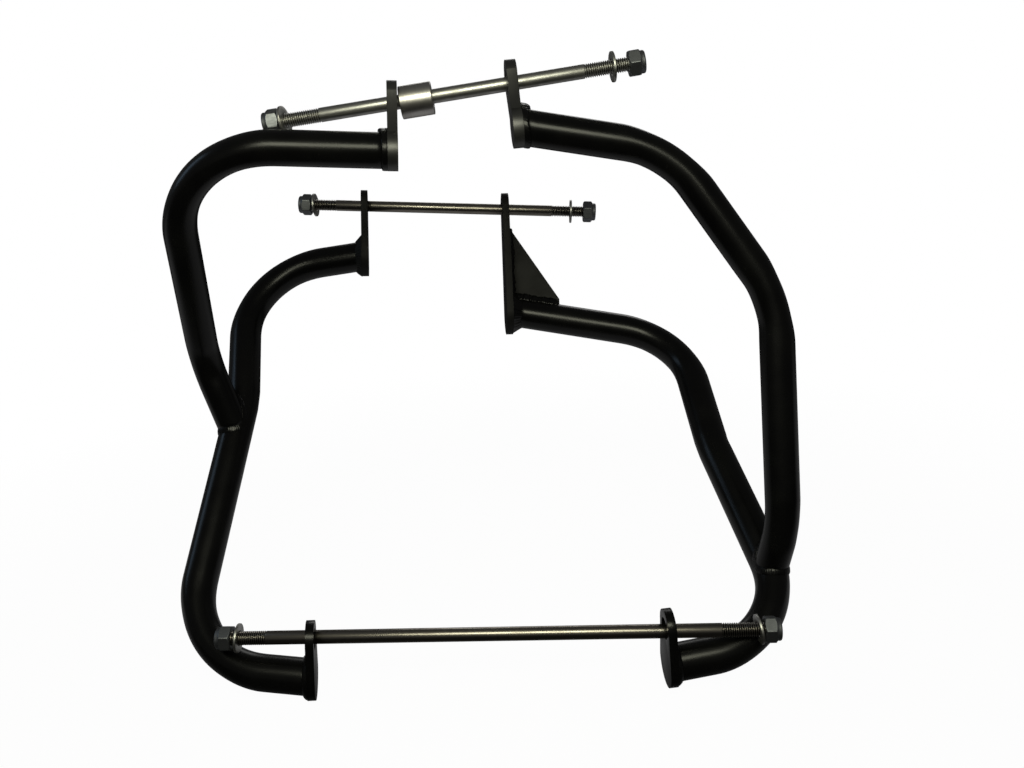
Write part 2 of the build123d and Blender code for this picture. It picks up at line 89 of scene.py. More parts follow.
class NodeTree:
    """Short way to add and join shader nodes."""

    def __init__(self, tree: bpy.types.NodeTree) -> None:
        """Keep the tree that nodes are added to.

        Args:
            tree: A material's, world's or group's node tree.
        """
        self.tree = tree

    def add(self, kind: str, inputs: dict | None = None, **settings: object) -> bpy.types.Node:
        """Add one node.

        Args:
            kind: Node type name.
            inputs: Socket name or index to a value, or to an output socket to join.
            settings: Properties of the node.

        Returns:
            The new node.
        """
        node = self.tree.nodes.new(kind)
        for name, value in settings.items():
            setattr(node, name, value)
        self.fill(node, inputs or {})
        return node

    def fill(self, node: bpy.types.Node, inputs: dict) -> None:
        """Set or join the inputs of a node.

        Args:
            node: The node.
            inputs: Socket name or index to a value, or to an output socket to join.
        """
        for name, value in inputs.items():
            if isinstance(value, bpy.types.NodeSocket):
                self.tree.links.new(value, node.inputs[name])
            else:
                node.inputs[name].default_value = value

    def math(self, operation: str, first: object, second: object = 0.0, clamp: bool = False) -> object:
        """Add a Math node.

        Args:
            operation: Name of the operation.
            first: First value or output socket.
            second: Second value or output socket.
            clamp: Keep the result from 0 to 1.

        Returns:
            The result's output socket.
        """
        node = self.add("ShaderNodeMath", {0: first, 1: second}, operation=operation, use_clamp=clamp)
        return node.outputs[0]

    def span(self, value: object, low: float, high: float, to_low: float, to_high: float) -> object:
        """Map a value from one range to another, with the ends held.

        Args:
            value: Output socket to map.
            low: Start of the first range.
            high: End of the first range.
            to_low: Start of the second range.
            to_high: End of the second range.

        Returns:
            The result's output socket.
        """
        node = self.add(
            "ShaderNodeMapRange",
            {"Value": value, "From Min": low, "From Max": high, "To Min": to_low, "To Max": to_high},
        )
        return node.outputs["Result"]

    def blend(self, factor: object, first: object, second: object) -> object:
        """Mix two colours.

        Args:
            factor: Share of the second colour.
            first: First colour or output socket.
            second: Second colour or output socket.

        Returns:
            The mixed colour's output socket.
        """
        return self.add("ShaderNodeMix", {0: factor, 6: first, 7: second}, data_type="RGBA").outputs[2]


class SurfaceGroups:
    """Shader node groups that more than one finish uses."""

    def __init__(self) -> None:
        """Build the groups once."""
        self.mottle = self._mottle()
        self.streak = self._streak()

    @staticmethod
    def _new(name: str, inputs: dict[str, tuple[str, object]], outputs: list[str]) -> tuple:
        """Start a group with named sockets.

        Args:
            name: Name of the group.
            inputs: Socket name to its type and its default value.
            outputs: Names of the value outputs.

        Returns:
            The group, its node helper, its input node and its output node.
        """
        group = bpy.data.node_groups.new(name, "ShaderNodeTree")
        for label, (kind, default) in inputs.items():
            socket = group.interface.new_socket(label, in_out="INPUT", socket_type=kind)
            if default is not None:
                socket.default_value = default
        for label in outputs:
            group.interface.new_socket(label, in_out="OUTPUT", socket_type="NodeSocketFloat")
        nodes = NodeTree(group)
        return group, nodes, nodes.add("NodeGroupInput"), nodes.add("NodeGroupOutput")

    def _mottle(self) -> bpy.types.NodeTree:
        """Fine peel of a sprayed coat with broad, slow changes.

        Returns:
            The group, with Height, Tone and Speck outputs.
        """
        group, nodes, source, result = self._new(
            "coat_mottle",
            {
                "Vector": ("NodeSocketVector", None),
                "Peel Scale": ("NodeSocketFloat", 900.0),
                "Broad Scale": ("NodeSocketFloat", 40.0),
            },
            ["Height", "Tone", "Speck"],
        )
        where = source.outputs["Vector"]
        peel_scale = source.outputs["Peel Scale"]
        broad_scale = source.outputs["Broad Scale"]
        fine_scale = nodes.math("MULTIPLY", peel_scale, 3.1)
        speck_scale = nodes.math("MULTIPLY", peel_scale, 0.35)
        peel = nodes.add("ShaderNodeTexNoise", {"Vector": where, "Scale": peel_scale, "Detail": 2.0})
        fine = nodes.add("ShaderNodeTexNoise", {"Vector": where, "Scale": fine_scale, "Detail": 1.0})
        broad = nodes.add("ShaderNodeTexNoise", {"Vector": where, "Scale": broad_scale, "Detail": 4.0})
        speck = nodes.add("ShaderNodeTexVoronoi", {"Vector": where, "Scale": speck_scale})
        relief = nodes.math("MULTIPLY", fine.outputs["Fac"], 0.4)
        nodes.fill(
            result,
            {
                "Height": nodes.math("ADD", peel.outputs["Fac"], relief),
                "Tone": nodes.span(broad.outputs["Fac"], 0.3, 0.7, 0.0, 1.0),
                "Speck": nodes.span(speck.outputs["Distance"], 0.05, 0.12, 1.0, 0.0),
            },
        )
        return group

    def _streak(self) -> bpy.types.NodeTree:
        """Drawn or turned lines, long one way and fine the other.

        Returns:
            The group, with Lines and Stain outputs.
        """
        group, nodes, source, result = self._new(
            "worked_lines",
            {
                "Vector": ("NodeSocketVector", None),
                "Stretch": ("NodeSocketVector", (1.0, 1.0, 1.0)),
                "Stain Scale": ("NodeSocketFloat", 90.0),
            },
            ["Lines", "Stain"],
        )
        where = source.outputs["Vector"]
        stretch = source.outputs["Stretch"]
        stain_scale = source.outputs["Stain Scale"]
        drawn = nodes.add("ShaderNodeVectorMath", {0: where, 1: stretch}, operation="MULTIPLY")
        lines = nodes.add(
            "ShaderNodeTexNoise", {"Vector": drawn.outputs["Vector"], "Scale": 1.0, "Detail": 4.0}
        )
        stain = nodes.add("ShaderNodeTexNoise", {"Vector": where, "Scale": stain_scale, "Detail": 5.0})
        nodes.fill(
            result,
            {
                "Lines": nodes.span(lines.outputs["Fac"], 0.3, 0.7, 0.0, 1.0),
                "Stain": nodes.span(stain.outputs["Fac"], 0.35, 0.68, 0.0, 1.0),
            },
        )
        return group


# Finishes


def start_material(name: str) -> tuple[bpy.types.Material, NodeTree, bpy.types.Node]:
    """Start a material.

    Args:
        name: Name of the material.

    Returns:
        The material, its node helper and its shader.
    """
    made = bpy.data.materials.new(name)
    made.use_nodes = True
    return made, NodeTree(made.node_tree), made.node_tree.nodes["Principled BSDF"]


@dataclass(frozen=True)
class CoatFinish:
    """Satin black powder coat with a fine peel and faint dust."""

    name: str = "coat_on_tube"
    slot: str = "black_coat"
    dark: Colour = (0.0016, 0.0016, 0.0017, 1.0)
    worn: Colour = (0.0032, 0.0032, 0.0031, 1.0)
    dust: Colour = (0.03, 0.029, 0.027, 1.0)
    smooth: float = 0.22
    dull: float = 0.29
    specular: float = 0.25
    peel_scale: float = 760.0
    broad_scale: float = 34.0
    peel_depth: float = 0.000035
    peel_strength: float = 0.35

    def material(self, groups: SurfaceGroups) -> bpy.types.Material:
        """Build the coat's material.

        Args:
            groups: Shared node groups.

        Returns:
            The material.
        """
        made, nodes, shader = start_material(self.name)
        place = nodes.add("ShaderNodeTexCoord").outputs["Object"]
        coat = nodes.add(
            "ShaderNodeGroup",
            {"Vector": place, "Peel Scale": self.peel_scale, "Broad Scale": self.broad_scale},
            node_tree=groups.mottle,
        )
        tone = coat.outputs["Tone"]
        specks = nodes.math("MULTIPLY", coat.outputs["Speck"], nodes.span(tone, 0.4, 1.0, 0.0, 0.5))
        bump = nodes.add(
            "ShaderNodeBump",
            {"Strength": self.peel_strength, "Distance": self.peel_depth, "Height": coat.outputs["Height"]},
        )
        nodes.fill(
            shader,
            {
                "Base Color": nodes.blend(specks, nodes.blend(tone, self.dark, self.worn), self.dust),
                "Roughness": nodes.span(tone, 0.0, 1.0, self.smooth, self.dull),
                "Normal": bump.outputs["Normal"],
                "Specular IOR Level": self.specular,
            },
        )
        return made


@dataclass(frozen=True)
class MetalFinish:
    """Plated, drawn or turned steel with lines that follow the working and painted shade in the thread
    roots.
    """

    name: str
    slot: str
    bright: Colour
    dark: Colour
    stretch: Point
    smooth: float
    dull: float
    line_depth: float = 0.00001
    line_strength: float = 0.5
    line_share: float = 0.3
    stain_scale: float = 90.0
    stain_share: float = 0.6
    # Painted shade colour for the thread roots, and the radii over which it fades out towards the crests.
    root_shade: Colour = (0.02, 0.018, 0.015, 1.0)
    root_radius: float = 4.2
    crest_radius: float = 4.85

    def material(self, groups: SurfaceGroups) -> bpy.types.Material:
        """Build the metal's material.

        Args:
            groups: Shared node groups.

        Returns:
            The material.
        """
        made, nodes, shader = start_material(self.name)
        place = nodes.add("ShaderNodeAttribute", attribute_name=AXES_ATTRIBUTE).outputs["Vector"]
        worked = nodes.add(
            "ShaderNodeGroup",
            {"Vector": place, "Stretch": self.stretch, "Stain Scale": self.stain_scale},
            node_tree=groups.streak,
        )
        lines = worked.outputs["Lines"]
        stain = nodes.math("MULTIPLY", worked.outputs["Stain"], self.stain_share)
        mixed = nodes.math("ADD", stain, nodes.math("MULTIPLY", lines, self.line_share), clamp=True)
        across = nodes.add("ShaderNodeVectorMath", {0: place, 1: (1.0, 1.0, 0.0)}, operation="MULTIPLY")
        reach = nodes.add("ShaderNodeVectorMath", {0: across.outputs["Vector"]}, operation="LENGTH")
        # Painted shade: the colour runs towards the root shade colour from crest_radius down to root_radius,
        # darkening the thread roots.
        root_shade_mask = nodes.span(reach.outputs["Value"], self.root_radius * MM, self.crest_radius * MM, 1.0, 0.0)
        bump = nodes.add(
            "ShaderNodeBump", {"Strength": self.line_strength, "Distance": self.line_depth, "Height": lines}
        )
        nodes.fill(
            shader,
            {
                "Base Color": nodes.blend(root_shade_mask, nodes.blend(mixed, self.bright, self.dark), self.root_shade),
                "Roughness": nodes.span(mixed, 0.0, 1.0, self.smooth, self.dull),
                "Normal": bump.outputs["Normal"],
                "Metallic": 1.0,
            },
        )
        return made


@dataclass(frozen=True)
class NylonFinish:
    """Dull blue nylon of the nuts' locking rings."""

    slot: str = "nylon"
    pale: Colour = (0.05, 0.10, 0.26, 1.0)
    deep: Colour = (0.02, 0.04, 0.12, 1.0)
    smooth: float = 0.45
    dull: float = 0.6
    fine_scale: float = 900.0
    broad_scale: float = 300.0

    def material(self, groups: SurfaceGroups) -> bpy.types.Material:
        """Build the nylon's material.

        Args:
            groups: Shared node groups.

        Returns:
            The material.
        """
        made, nodes, shader = start_material(self.slot)
        place = nodes.add("ShaderNodeTexCoord").outputs["Object"]
        coat = nodes.add(
            "ShaderNodeGroup",
            {"Vector": place, "Peel Scale": self.fine_scale, "Broad Scale": self.broad_scale},
            node_tree=groups.mottle,
        )
        tone = coat.outputs["Tone"]
        nodes.fill(
            shader,
            {
                "Base Color": nodes.blend(tone, self.pale, self.deep),
                "Roughness": nodes.span(tone, 0.0, 1.0, self.smooth, self.dull),
            },
        )
        return made


Finish = CoatFinish | MetalFinish | NylonFinish


class Finishes:
    """All finishes of the set, as built materials."""

    COAT = CoatFinish()
    SHEET = CoatFinish(name="coat_on_sheet", smooth=0.55, dull=0.70)
    # Copy of the tube's coat for the top tabs, with its base colours painted about four times lighter and
    # its specular raised: painted light on the tabs' front edges.
    LIT_STRAP = CoatFinish(
        name="coat_on_strap_painted_lit",
        dark=(0.006, 0.006, 0.006, 1.0),
        worn=(0.014, 0.014, 0.013, 1.0),
        smooth=0.38,
        dull=0.46,
        specular=1.0,
    )
    ZINC = MetalFinish(
        name="zinc_on_stud",
        slot="zinc_plate",
        # Painted shade colour for the thread roots of the zinc stud.
        root_shade=(0.10, 0.094, 0.078, 1.0),
        bright=(0.56, 0.56, 0.54, 1.0),
        dark=(0.33, 0.325, 0.305, 1.0),
        stretch=(900.0, 900.0, 260.0),
        smooth=0.34,
        dull=0.48,
    )
    NUT = MetalFinish(
        name="zinc_on_nut",
        slot="zinc_plate",
        bright=(0.25, 0.262, 0.28, 1.0),
        dark=(0.12, 0.126, 0.136, 1.0),
        stretch=(900.0, 900.0, 260.0),
        smooth=0.42,
        dull=0.58,
    )
    DRAWN = MetalFinish(
        name="drawn_steel",
        slot="bare_steel",
        bright=(0.32, 0.298, 0.262, 1.0),
        dark=(0.16, 0.143, 0.122, 1.0),
        stretch=(1500.0, 1500.0, 22.0),
        smooth=0.24,
        dull=0.40,
        stain_scale=55.0,
        stain_share=0.35,
    )
    TURNED = MetalFinish(
        name="turned_steel",
        slot="machined_steel",
        bright=(0.68, 0.66, 0.63, 1.0),
        dark=(0.46, 0.445, 0.42, 1.0),
        stretch=(60.0, 60.0, 3200.0),
        smooth=0.30,
        dull=0.42,
        line_depth=0.00002,
    )
    NYLON = NylonFinish()

    def __init__(self) -> None:
        """Build every material once."""
        groups = SurfaceGroups()
        coats = (self.COAT, self.SHEET, self.LIT_STRAP)
        metals = (self.ZINC, self.NUT, self.DRAWN, self.TURNED)
        self.materials = {finish: finish.material(groups) for finish in (*coats, *metals, self.NYLON)}


# Mesh helpers


def new_piece(
    name: str,
    bm: bmesh.types.BMesh,
    finish: Finish,
    node: str,
    finishes: Finishes,
    place: Matrix | None = None,
) -> None:
    """Turn a finished bmesh into a piece with its finish, body and the node that it stands for.

    Args:
        name: Name of the piece.
        bm: Mesh in millimetres, in its own axes. It is freed.
        finish: Finish of the piece.
        node: Node that the piece stands for.
        finishes: Built materials.
        place: Where the piece's own axes are, in millimetres.
    """
    axes = bm.verts.layers.float_vector.new(AXES_ATTRIBUTE)
    for vert in bm.verts:
        vert[axes] = vert.co * MM
    for face in bm.faces:
        face.smooth = True
    bmesh.ops.transform(bm, matrix=Matrix.Scale(MM, 4) @ (place or Matrix()), verts=bm.verts)
    mesh = bpy.data.meshes.new(name)
    bm.to_mesh(mesh)
    bm.free()
    piece = bpy.data.objects.new(name, mesh)
    bpy.context.scene.collection.objects.link(piece)
    mesh.materials.append(finishes.materials[finish])
    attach(piece, BODY)
    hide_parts(node)
    LOG.info("%s: %d faces", name, len(mesh.polygons))


def new_edges(result: dict, key: str = "geom") -> list[bmesh.types.BMEdge]:
    """Open edges among an operator's new geometry."""
    return [item for item in result[key] if isinstance(item, bmesh.types.BMEdge) and item.is_boundary]


def new_verts(result: dict, key: str = "geom") -> list[bmesh.types.BMVert]:
    """Vertices among an operator's new geometry."""
    return [item for item in result[key] if isinstance(item, bmesh.types.BMVert)]


def start_ring(bm: bmesh.types.BMesh, segments: int, radius: float, place: Matrix | None = None) -> tuple:
    """Draw an open ring.

    Args:
        bm: Mesh to draw in.
        segments: Edges of the ring.
        radius: Its radius.
        place: Its axes.

    Returns:
        Its vertices and its edges.
    """
    ring = bmesh.ops.create_circle(
        bm, cap_ends=False, segments=segments, radius=radius, matrix=place or Matrix()
    )
    return ring["verts"], list({edge for vert in ring["verts"] for edge in vert.link_edges})


def grow_ring(bm: bmesh.types.BMesh, edges: list, move: Vector | Point = ORIGIN) -> tuple:
    """Extrude an open ring.

    Args:
        bm: Mesh that holds the ring.
        edges: Edges of the ring.
        move: How far the new ring is moved.

    Returns:
        The new ring's vertices and edges.
    """
    grown = bmesh.ops.extrude_edge_only(bm, edges=edges)
    bmesh.ops.translate(bm, verts=new_verts(grown), vec=move)
    return new_verts(grown), new_edges(grown)


def round_rims(bm: bmesh.types.BMesh, edges: list, radius: float, segments: int) -> None:
    """Round those of some edges that are sharp.

    Args:
        bm: Mesh that holds the edges.
        edges: Edges to look at.
        radius: Rounding radius.
        segments: Segments of the rounding.
    """
    rims = [edge for edge in edges if len(edge.link_faces) == 2 and edge.calc_face_angle() > RIM_ANGLE]
    bmesh.ops.bevel(
        bm,
        geom=rims,
        offset=radius,
        segments=segments,
        profile=0.5,
        affect="EDGES",
        material=-1,
        clamp_overlap=True,
    )


def axes_matrix(origin: Vector, x_axis: Vector, z_axis: Vector) -> Matrix:
    """Place of a piece's own axes.

    Args:
        origin: Origin, in millimetres.
        x_axis: Direction of its X axis.
        z_axis: Direction of its Z axis, square to X.

    Returns:
        The matrix.
    """
    z_unit = z_axis.normalized()
    x_unit = (x_axis - z_unit * x_axis.dot(z_unit)).normalized()
    matrix = Matrix((x_unit, z_unit.cross(x_unit), z_unit)).transposed().to_4x4()
    matrix.translation = origin
    return matrix


def lathe(profile: list[tuple[float, float]], steps: int = 96) -> bmesh.types.BMesh:
    """Spin a closed profile round the Z axis.

    Args:
        profile: Radius and height of each corner, in order round the section.
        steps: Steps of the full turn.

    Returns:
        The closed mesh.
    """
    bm = bmesh.new()
    corners = [bm.verts.new((radius, 0.0, height)) for radius, height in profile]
    ring = [bm.edges.new((a, b)) for a, b in zip(corners, corners[1:] + corners[:1])]
    bmesh.ops.spin(
        bm,
        geom=corners + ring,
        cent=ORIGIN,
        axis=UP,
        dvec=ORIGIN,
        angle=math.tau,
        steps=steps,
        use_merge=True,
        use_duplicate=False,
    )
    bmesh.ops.remove_doubles(bm, verts=bm.verts, dist=0.001)
    bmesh.ops.recalc_face_normals(bm, faces=bm.faces)
    return bm


def rounded_profile(
    corners: list[tuple[float, float]], radius: float, steps: int = 4
) -> list[tuple[float, float]]:
    """Round every corner of a closed profile.

    Args:
        corners: Corners of the section, in order.
        radius: Rounding radius.
        steps: Segments of each rounding.

    Returns:
        The rounded profile.
    """
    bm = bmesh.new()
    verts = [bm.verts.new((x, y, 0.0)) for x, y in corners]
    bm.faces.new(verts)
    bmesh.ops.bevel(
        bm, geom=verts, offset=radius, segments=steps, profile=0.5, affect="VERTICES", material=-1
    )
    bm.faces.ensure_lookup_table()
    outline = [(loop.vert.co.x, loop.vert.co.y) for loop in bm.faces[0].loops]
    bm.free()
    return outline


def even_loop(path: list[Vector], count: int) -> list[Vector]:
    """Points at even spacing along a closed line.

    Args:
        path: Corners of the line, in order.
        count: Number of points.

    Returns:
        The points.
    """
    line = path + path[:1]
    lengths = [(b - a).length for a, b in zip(line, line[1:])]
    points, index, done = [], 0, 0.0
    for step in range(count):
        target = sum(lengths) * step / count
        while index < len(lengths) - 1 and done + lengths[index] < target:
            done += lengths[index]
            index += 1
        points.append(line[index].lerp(line[index + 1], min(1.0, (target - done) / lengths[index])))
    return points


# Tubes and tabs


@dataclass(frozen=True)
class Bend:
    """One arc of a tube's centre line."""

    start: Vector
    finish: Vector
    centre: Vector
    axis: Vector
    angle: float


@dataclass(frozen=True)
class Route:
    """Centre line of straight runs joined by arcs."""

    points: tuple[Vector, ...]
    radii: tuple[float, ...]

    def bends(self) -> list[Bend]:
        """Arcs of the route, in order."""
        arcs = []
        for before, corner, after, radius in zip(self.points, self.points[1:], self.points[2:], self.radii):
            back = (before - corner).normalized()
            ahead = (after - corner).normalized()
            angle = math.pi - back.angle(ahead)
            tangent = radius * math.tan(angle / 2)
            centre = corner + (back + ahead).normalized() * (radius / math.cos(angle / 2))
            axis = (-back).cross(ahead).normalized()
            arcs.append(Bend(corner + back * tangent, corner + ahead * tangent, centre, axis, angle))
        return arcs

    def stations(self, spacing: float = 2.0) -> list[Vector]:
        """Points along the route.

        Args:
            spacing: Distance between two points.

        Returns:
            The points.
        """
        found = [self.points[0]]
        for bend in self.bends():
            self._run(found, bend.start, spacing)
            steps = max(2, round(bend.angle * (bend.start - bend.centre).length / spacing))
            for step in range(1, steps + 1):
                turn = Matrix.Rotation(bend.angle * step / steps, 3, bend.axis)
                found.append(bend.centre + turn @ (bend.start - bend.centre))
        self._run(found, self.points[-1], spacing)
        return found

    @staticmethod
    def _run(found: list[Vector], target: Vector, spacing: float) -> None:
        """Add points from the last one found to a target.

        Args:
            found: Points so far, which grow.
            target: End of the run.
            spacing: Distance between two points.
        """
        start = found[-1]
        steps = max(1, round((target - start).length / spacing))
        found.extend(start.lerp(target, step / steps) for step in range(1, steps + 1))

    def at(self, distance: float) -> Vector:
        """Point at a distance along the route from its start.

        Args:
            distance: Distance along the centre line.

        Returns:
            The point.
        """
        points = self.stations()
        for first, second in zip(points, points[1:]):
            step = (second - first).length
            if distance <= step:
                return first.lerp(second, distance / step)
            distance -= step
        return points[-1]


class CentreLine:
    """Stations of a route, for measuring how far a point is from it."""

    def __init__(self, route: Route) -> None:
        """Keep the route's stations.

        Args:
            route: The route.
        """
        self.points = route.stations(1.0)

    def nearest(self, point: Vector) -> Vector:
        """Point of the centre line that is nearest to another point.

        Args:
            point: The other point.

        Returns:
            The nearest point, between stations.
        """
        index = min(range(len(self.points)), key=lambda i: (self.points[i] - point).length_squared)
        first = self.points[max(index - 1, 0)]
        second = self.points[min(index + 1, len(self.points) - 1)]
        along = (second - first).normalized()
        return first + along * (point - first).dot(along)


@dataclass
class TabPlate:
    """Flat tab with an eye for a stud and a base that carries a tube."""

    name: str
    rest: Point
    side: Side
    lean: float
    splay: float
    swing: float
    lift: float
    reach: float
    eye_r: float
    base_r: float
    foot_r: float = 0.0
    thickness: float = 6.0
    hole_r: float = 7.8
    edge_round: float = 0.7
    edge_segments: int = 3
    arc_step: float = 1.2
    hole_segments: int = 56
    finish: Finish = Finishes.COAT

    def axes(self) -> Matrix:
        """Own axes on the inner face: origin in the eye, X down the tab, Z outward."""
        tilt = math.radians(self.lean)
        turn = Matrix.Rotation(math.radians(self.swing), 3, "Z") @ Matrix.Rotation(
            math.radians(-self.side.value * self.splay), 3, "Y"
        )
        down = turn @ Vector((0.0, -math.sin(tilt), -math.cos(tilt)))
        straight = Vector((self.side.value, 0.0, 0.0))
        outward = turn @ straight
        eye = Vector(self.rest) + Vector((0.0, 0.0, self.lift)) + (straight - outward) * (self.thickness / 2)
        return axes_matrix(eye, down, outward)

    def seat(self) -> Matrix:
        """Axes on the outer face, centred where the tube lands."""
        return self.axes() @ Matrix.Translation((self.reach, 0.0, self.thickness))

    def sweeps(self) -> list[tuple[float, float, float, float]]:
        """Arcs of the outline, anticlockwise, as centre, radius, start angle and end angle."""
        foot_r = self.foot_r or self.base_r
        lean = math.acos((foot_r - self.eye_r) / self.reach)
        eye = (0.0, self.eye_r, lean, math.tau - lean)
        half = math.acos(max(-1.0, min(1.0, self._neck(lean, foot_r) / self.base_r)))
        return [eye, (self.reach, self.base_r, -half, half)]

    def _neck(self, lean: float, foot_r: float) -> float:
        """Where the straight side meets the base, measured down the tab from the base's centre.

        Args:
            lean: Angle of the side's normal from the tab's length.
            foot_r: Radius that the sides run to.

        Returns:
            The distance, below zero above the centre.
        """
        rest = math.sqrt(max(0.0, self.base_r**2 - foot_r**2))
        return foot_r * math.cos(lean) - rest * math.sin(lean)

    def outline(self, bm: bmesh.types.BMesh) -> None:
        """Draw the outline as two arcs joined by straight sides.

        Args:
            bm: Mesh to draw in.
        """
        ends = []
        for x, radius, start, finish in self.sweeps():
            corner = bm.verts.new((x + radius * math.cos(start), radius * math.sin(start), 0.0))
            arc = bmesh.ops.spin(
                bm,
                geom=[corner],
                cent=(x, 0.0, 0.0),
                axis=UP,
                dvec=ORIGIN,
                angle=finish - start,
                steps=max(6, round((finish - start) * radius / self.arc_step)),
                use_duplicate=False,
            )
            ends.append((corner, new_verts(arc, "geom_last")[0]))
        for index, (corner, _) in enumerate(ends):
            bm.edges.new((ends[index - 1][1], corner))

    def build(self, finishes: Finishes) -> None:
        """Cut the plate, round its edges and coat it.

        Args:
            finishes: Built materials.
        """
        bm = bmesh.new()
        self.outline(bm)
        start_ring(bm, self.hole_segments, self.hole_r)
        plate_from_outline(bm, self.thickness, self.edge_round, self.edge_segments)
        new_piece(f"{self.name}_plate", bm, self.finish, self.name, finishes, self.axes())


def plate_from_outline(bm: bmesh.types.BMesh, thickness: float, edge_round: float, segments: int) -> None:
    """Fill an outline in the XY plane, thicken it upwards and round its edges.

    Args:
        bm: Mesh that holds only the outline and any holes.
        thickness: Thickness of the plate.
        edge_round: Rounding of the rims.
        segments: Segments of the rounding.
    """
    bmesh.ops.triangle_fill(bm, use_beauty=True, use_dissolve=False, edges=bm.edges[:], normal=UP)
    raised = bmesh.ops.extrude_face_region(bm, geom=bm.faces[:], use_keep_orig=True)
    bmesh.ops.translate(bm, verts=new_verts(raised), vec=(0.0, 0.0, thickness))
    bmesh.ops.recalc_face_normals(bm, faces=bm.faces)
    round_rims(bm, bm.edges[:], edge_round, segments)


@dataclass
class BentTube:
    """Round tube along a route, slightly flattened in its bends."""

    name: str
    route: Route
    diameter: float
    seats: list[Matrix]
    flatten: float = 0.085
    full_bend: float = 0.6
    bend_ease: float = 3.2
    segments: int = 72
    bend_step: float = 2.5
    run_step: float = 10.0
    run_cuts: int = 7

    def build(self, finishes: Finishes, cope: CentreLine | None = None, cope_r: float = 0.0) -> list[Vector]:
        """Draw the tube ring by ring, trim it on its tabs and coat it.

        Args:
            finishes: Built materials.
            cope: Centre line of the tube that this one lands on.
            cope_r: Radius of that tube.

        Returns:
            Points of the coped end, in order round the tube.
        """
        bm = bmesh.new()
        start = self.route.points[0]
        ahead = (self.route.points[1] - start).normalized()
        side = ahead.orthogonal().normalized()
        first, edges = start_ring(bm, self.segments, self.diameter / 2, axes_matrix(start, side, ahead))
        here = start
        squeezes = []
        for bend in self.route.bends():
            edges = grow_ring(bm, edges, bend.start - here)[1]
            edges = self._bend(bm, edges, bend, squeezes)
            here = bend.finish
        last = self.route.points[-1] - here
        ends = grow_ring(bm, edges, last)[0]
        self._squeeze(squeezes)
        self._land(first, self.seats[0], ahead)
        if cope:
            saddle = self._cope(ends, cope, cope_r)
        else:
            saddle = []
            self._land(ends, self.seats[1], last)
        self._divide(bm)
        bmesh.ops.holes_fill(bm, edges=[edge for edge in bm.edges if edge.is_boundary], sides=0)
        bmesh.ops.recalc_face_normals(bm, faces=bm.faces)
        new_piece(f"{self.name}_coated", bm, Finishes.COAT, self.name, finishes)
        return saddle

    @staticmethod
    def _land(verts: list, seat: Matrix, along: Vector) -> None:
        """Slide an end ring along its run onto the face of its tab.

        Args:
            verts: Vertices of the ring.
            seat: Axes on the tab's face.
            along: Direction of the run.
        """
        outward = seat.to_3x3().col[2]
        for vert in verts:
            vert.co -= along * ((vert.co - seat.translation).dot(outward) / along.dot(outward))

    def _divide(self, bm: bmesh.types.BMesh) -> None:
        """Cut the straight runs into even rings.

        Args:
            bm: Mesh of the tube, whose only long edges run along it.
        """
        long_edges = [edge for edge in bm.edges if edge.calc_length() > self.run_step]
        bmesh.ops.subdivide_edges(bm, edges=long_edges, cuts=self.run_cuts, use_grid_fill=True)

    def _bend(self, bm: bmesh.types.BMesh, edges: list, bend: Bend, squeezes: list) -> list:
        """Extend the tube round a bend.

        Args:
            bm: Mesh of the tube.
            edges: Its open ring.
            bend: The arc.
            squeezes: Rings to flatten later, which grow.

        Returns:
            The new open ring.
        """
        arm = bend.start - bend.centre
        steps = max(3, round(bend.angle * arm.length / self.bend_step))
        amount = self.flatten * min(1.0, bend.angle / self.full_bend)
        for step in range(1, steps + 1):
            turned = bmesh.ops.spin(
                bm,
                geom=edges,
                cent=bend.centre,
                axis=bend.axis,
                dvec=ORIGIN,
                angle=bend.angle / steps,
                steps=1,
                use_duplicate=False,
            )
            edges = new_edges(turned, "geom_last")
            middle = bend.centre + Matrix.Rotation(bend.angle * step / steps, 3, bend.axis) @ arm
            share = step / steps
            swell = min(1.0, self.bend_ease * min(share, 1.0 - share))
            weight = amount * swell * swell * (3.0 - 2.0 * swell)
            squeezes.append((list({vert for edge in edges for vert in edge.verts}), middle, bend, weight))
        return edges

    @staticmethod
    def _squeeze(squeezes: list) -> None:
        """Flatten the rings of the bends in the plane of each bend.

        Args:
            squeezes: Vertices, middle, bend and weight of each ring.
        """
        for verts, middle, bend, weight in squeezes:
            outward = (middle - bend.centre).normalized()
            for vert in verts:
                offset = vert.co - middle
                vert.co -= outward * (offset.dot(outward) * weight)

    def _cope(self, verts: list, cope: CentreLine, cope_r: float) -> list[Vector]:
        """Slide the last ring back onto the surface of the tube that it lands on.

        Args:
            verts: Vertices of the last ring.
            cope: Centre line of the other tube.
            cope_r: Radius of the other tube.

        Returns:
            Points of the saddle, in order round the tube.
        """
        back = (self.route.points[-2] - self.route.points[-1]).normalized()
        side = back.orthogonal().normalized()
        other = back.cross(side)
        end = self.route.points[-1]
        for vert in verts:
            low, high = -self.diameter, 2.5 * self.diameter
            base = vert.co.copy()
            for _ in range(30):
                middle = (low + high) / 2
                point = base + back * middle
                if (point - cope.nearest(point)).length < cope_r:
                    low = middle
                else:
                    high = middle
            vert.co = base + back * high
        verts.sort(key=lambda vert: math.atan2((vert.co - end).dot(other), (vert.co - end).dot(side)))
        return [vert.co.copy() for vert in verts]


# Welds


@dataclass(frozen=True)
class Seam:
    """One place along a weld: its root and the two directions that the bead covers."""

    root: Vector
    foot: Vector
    rise: Vector


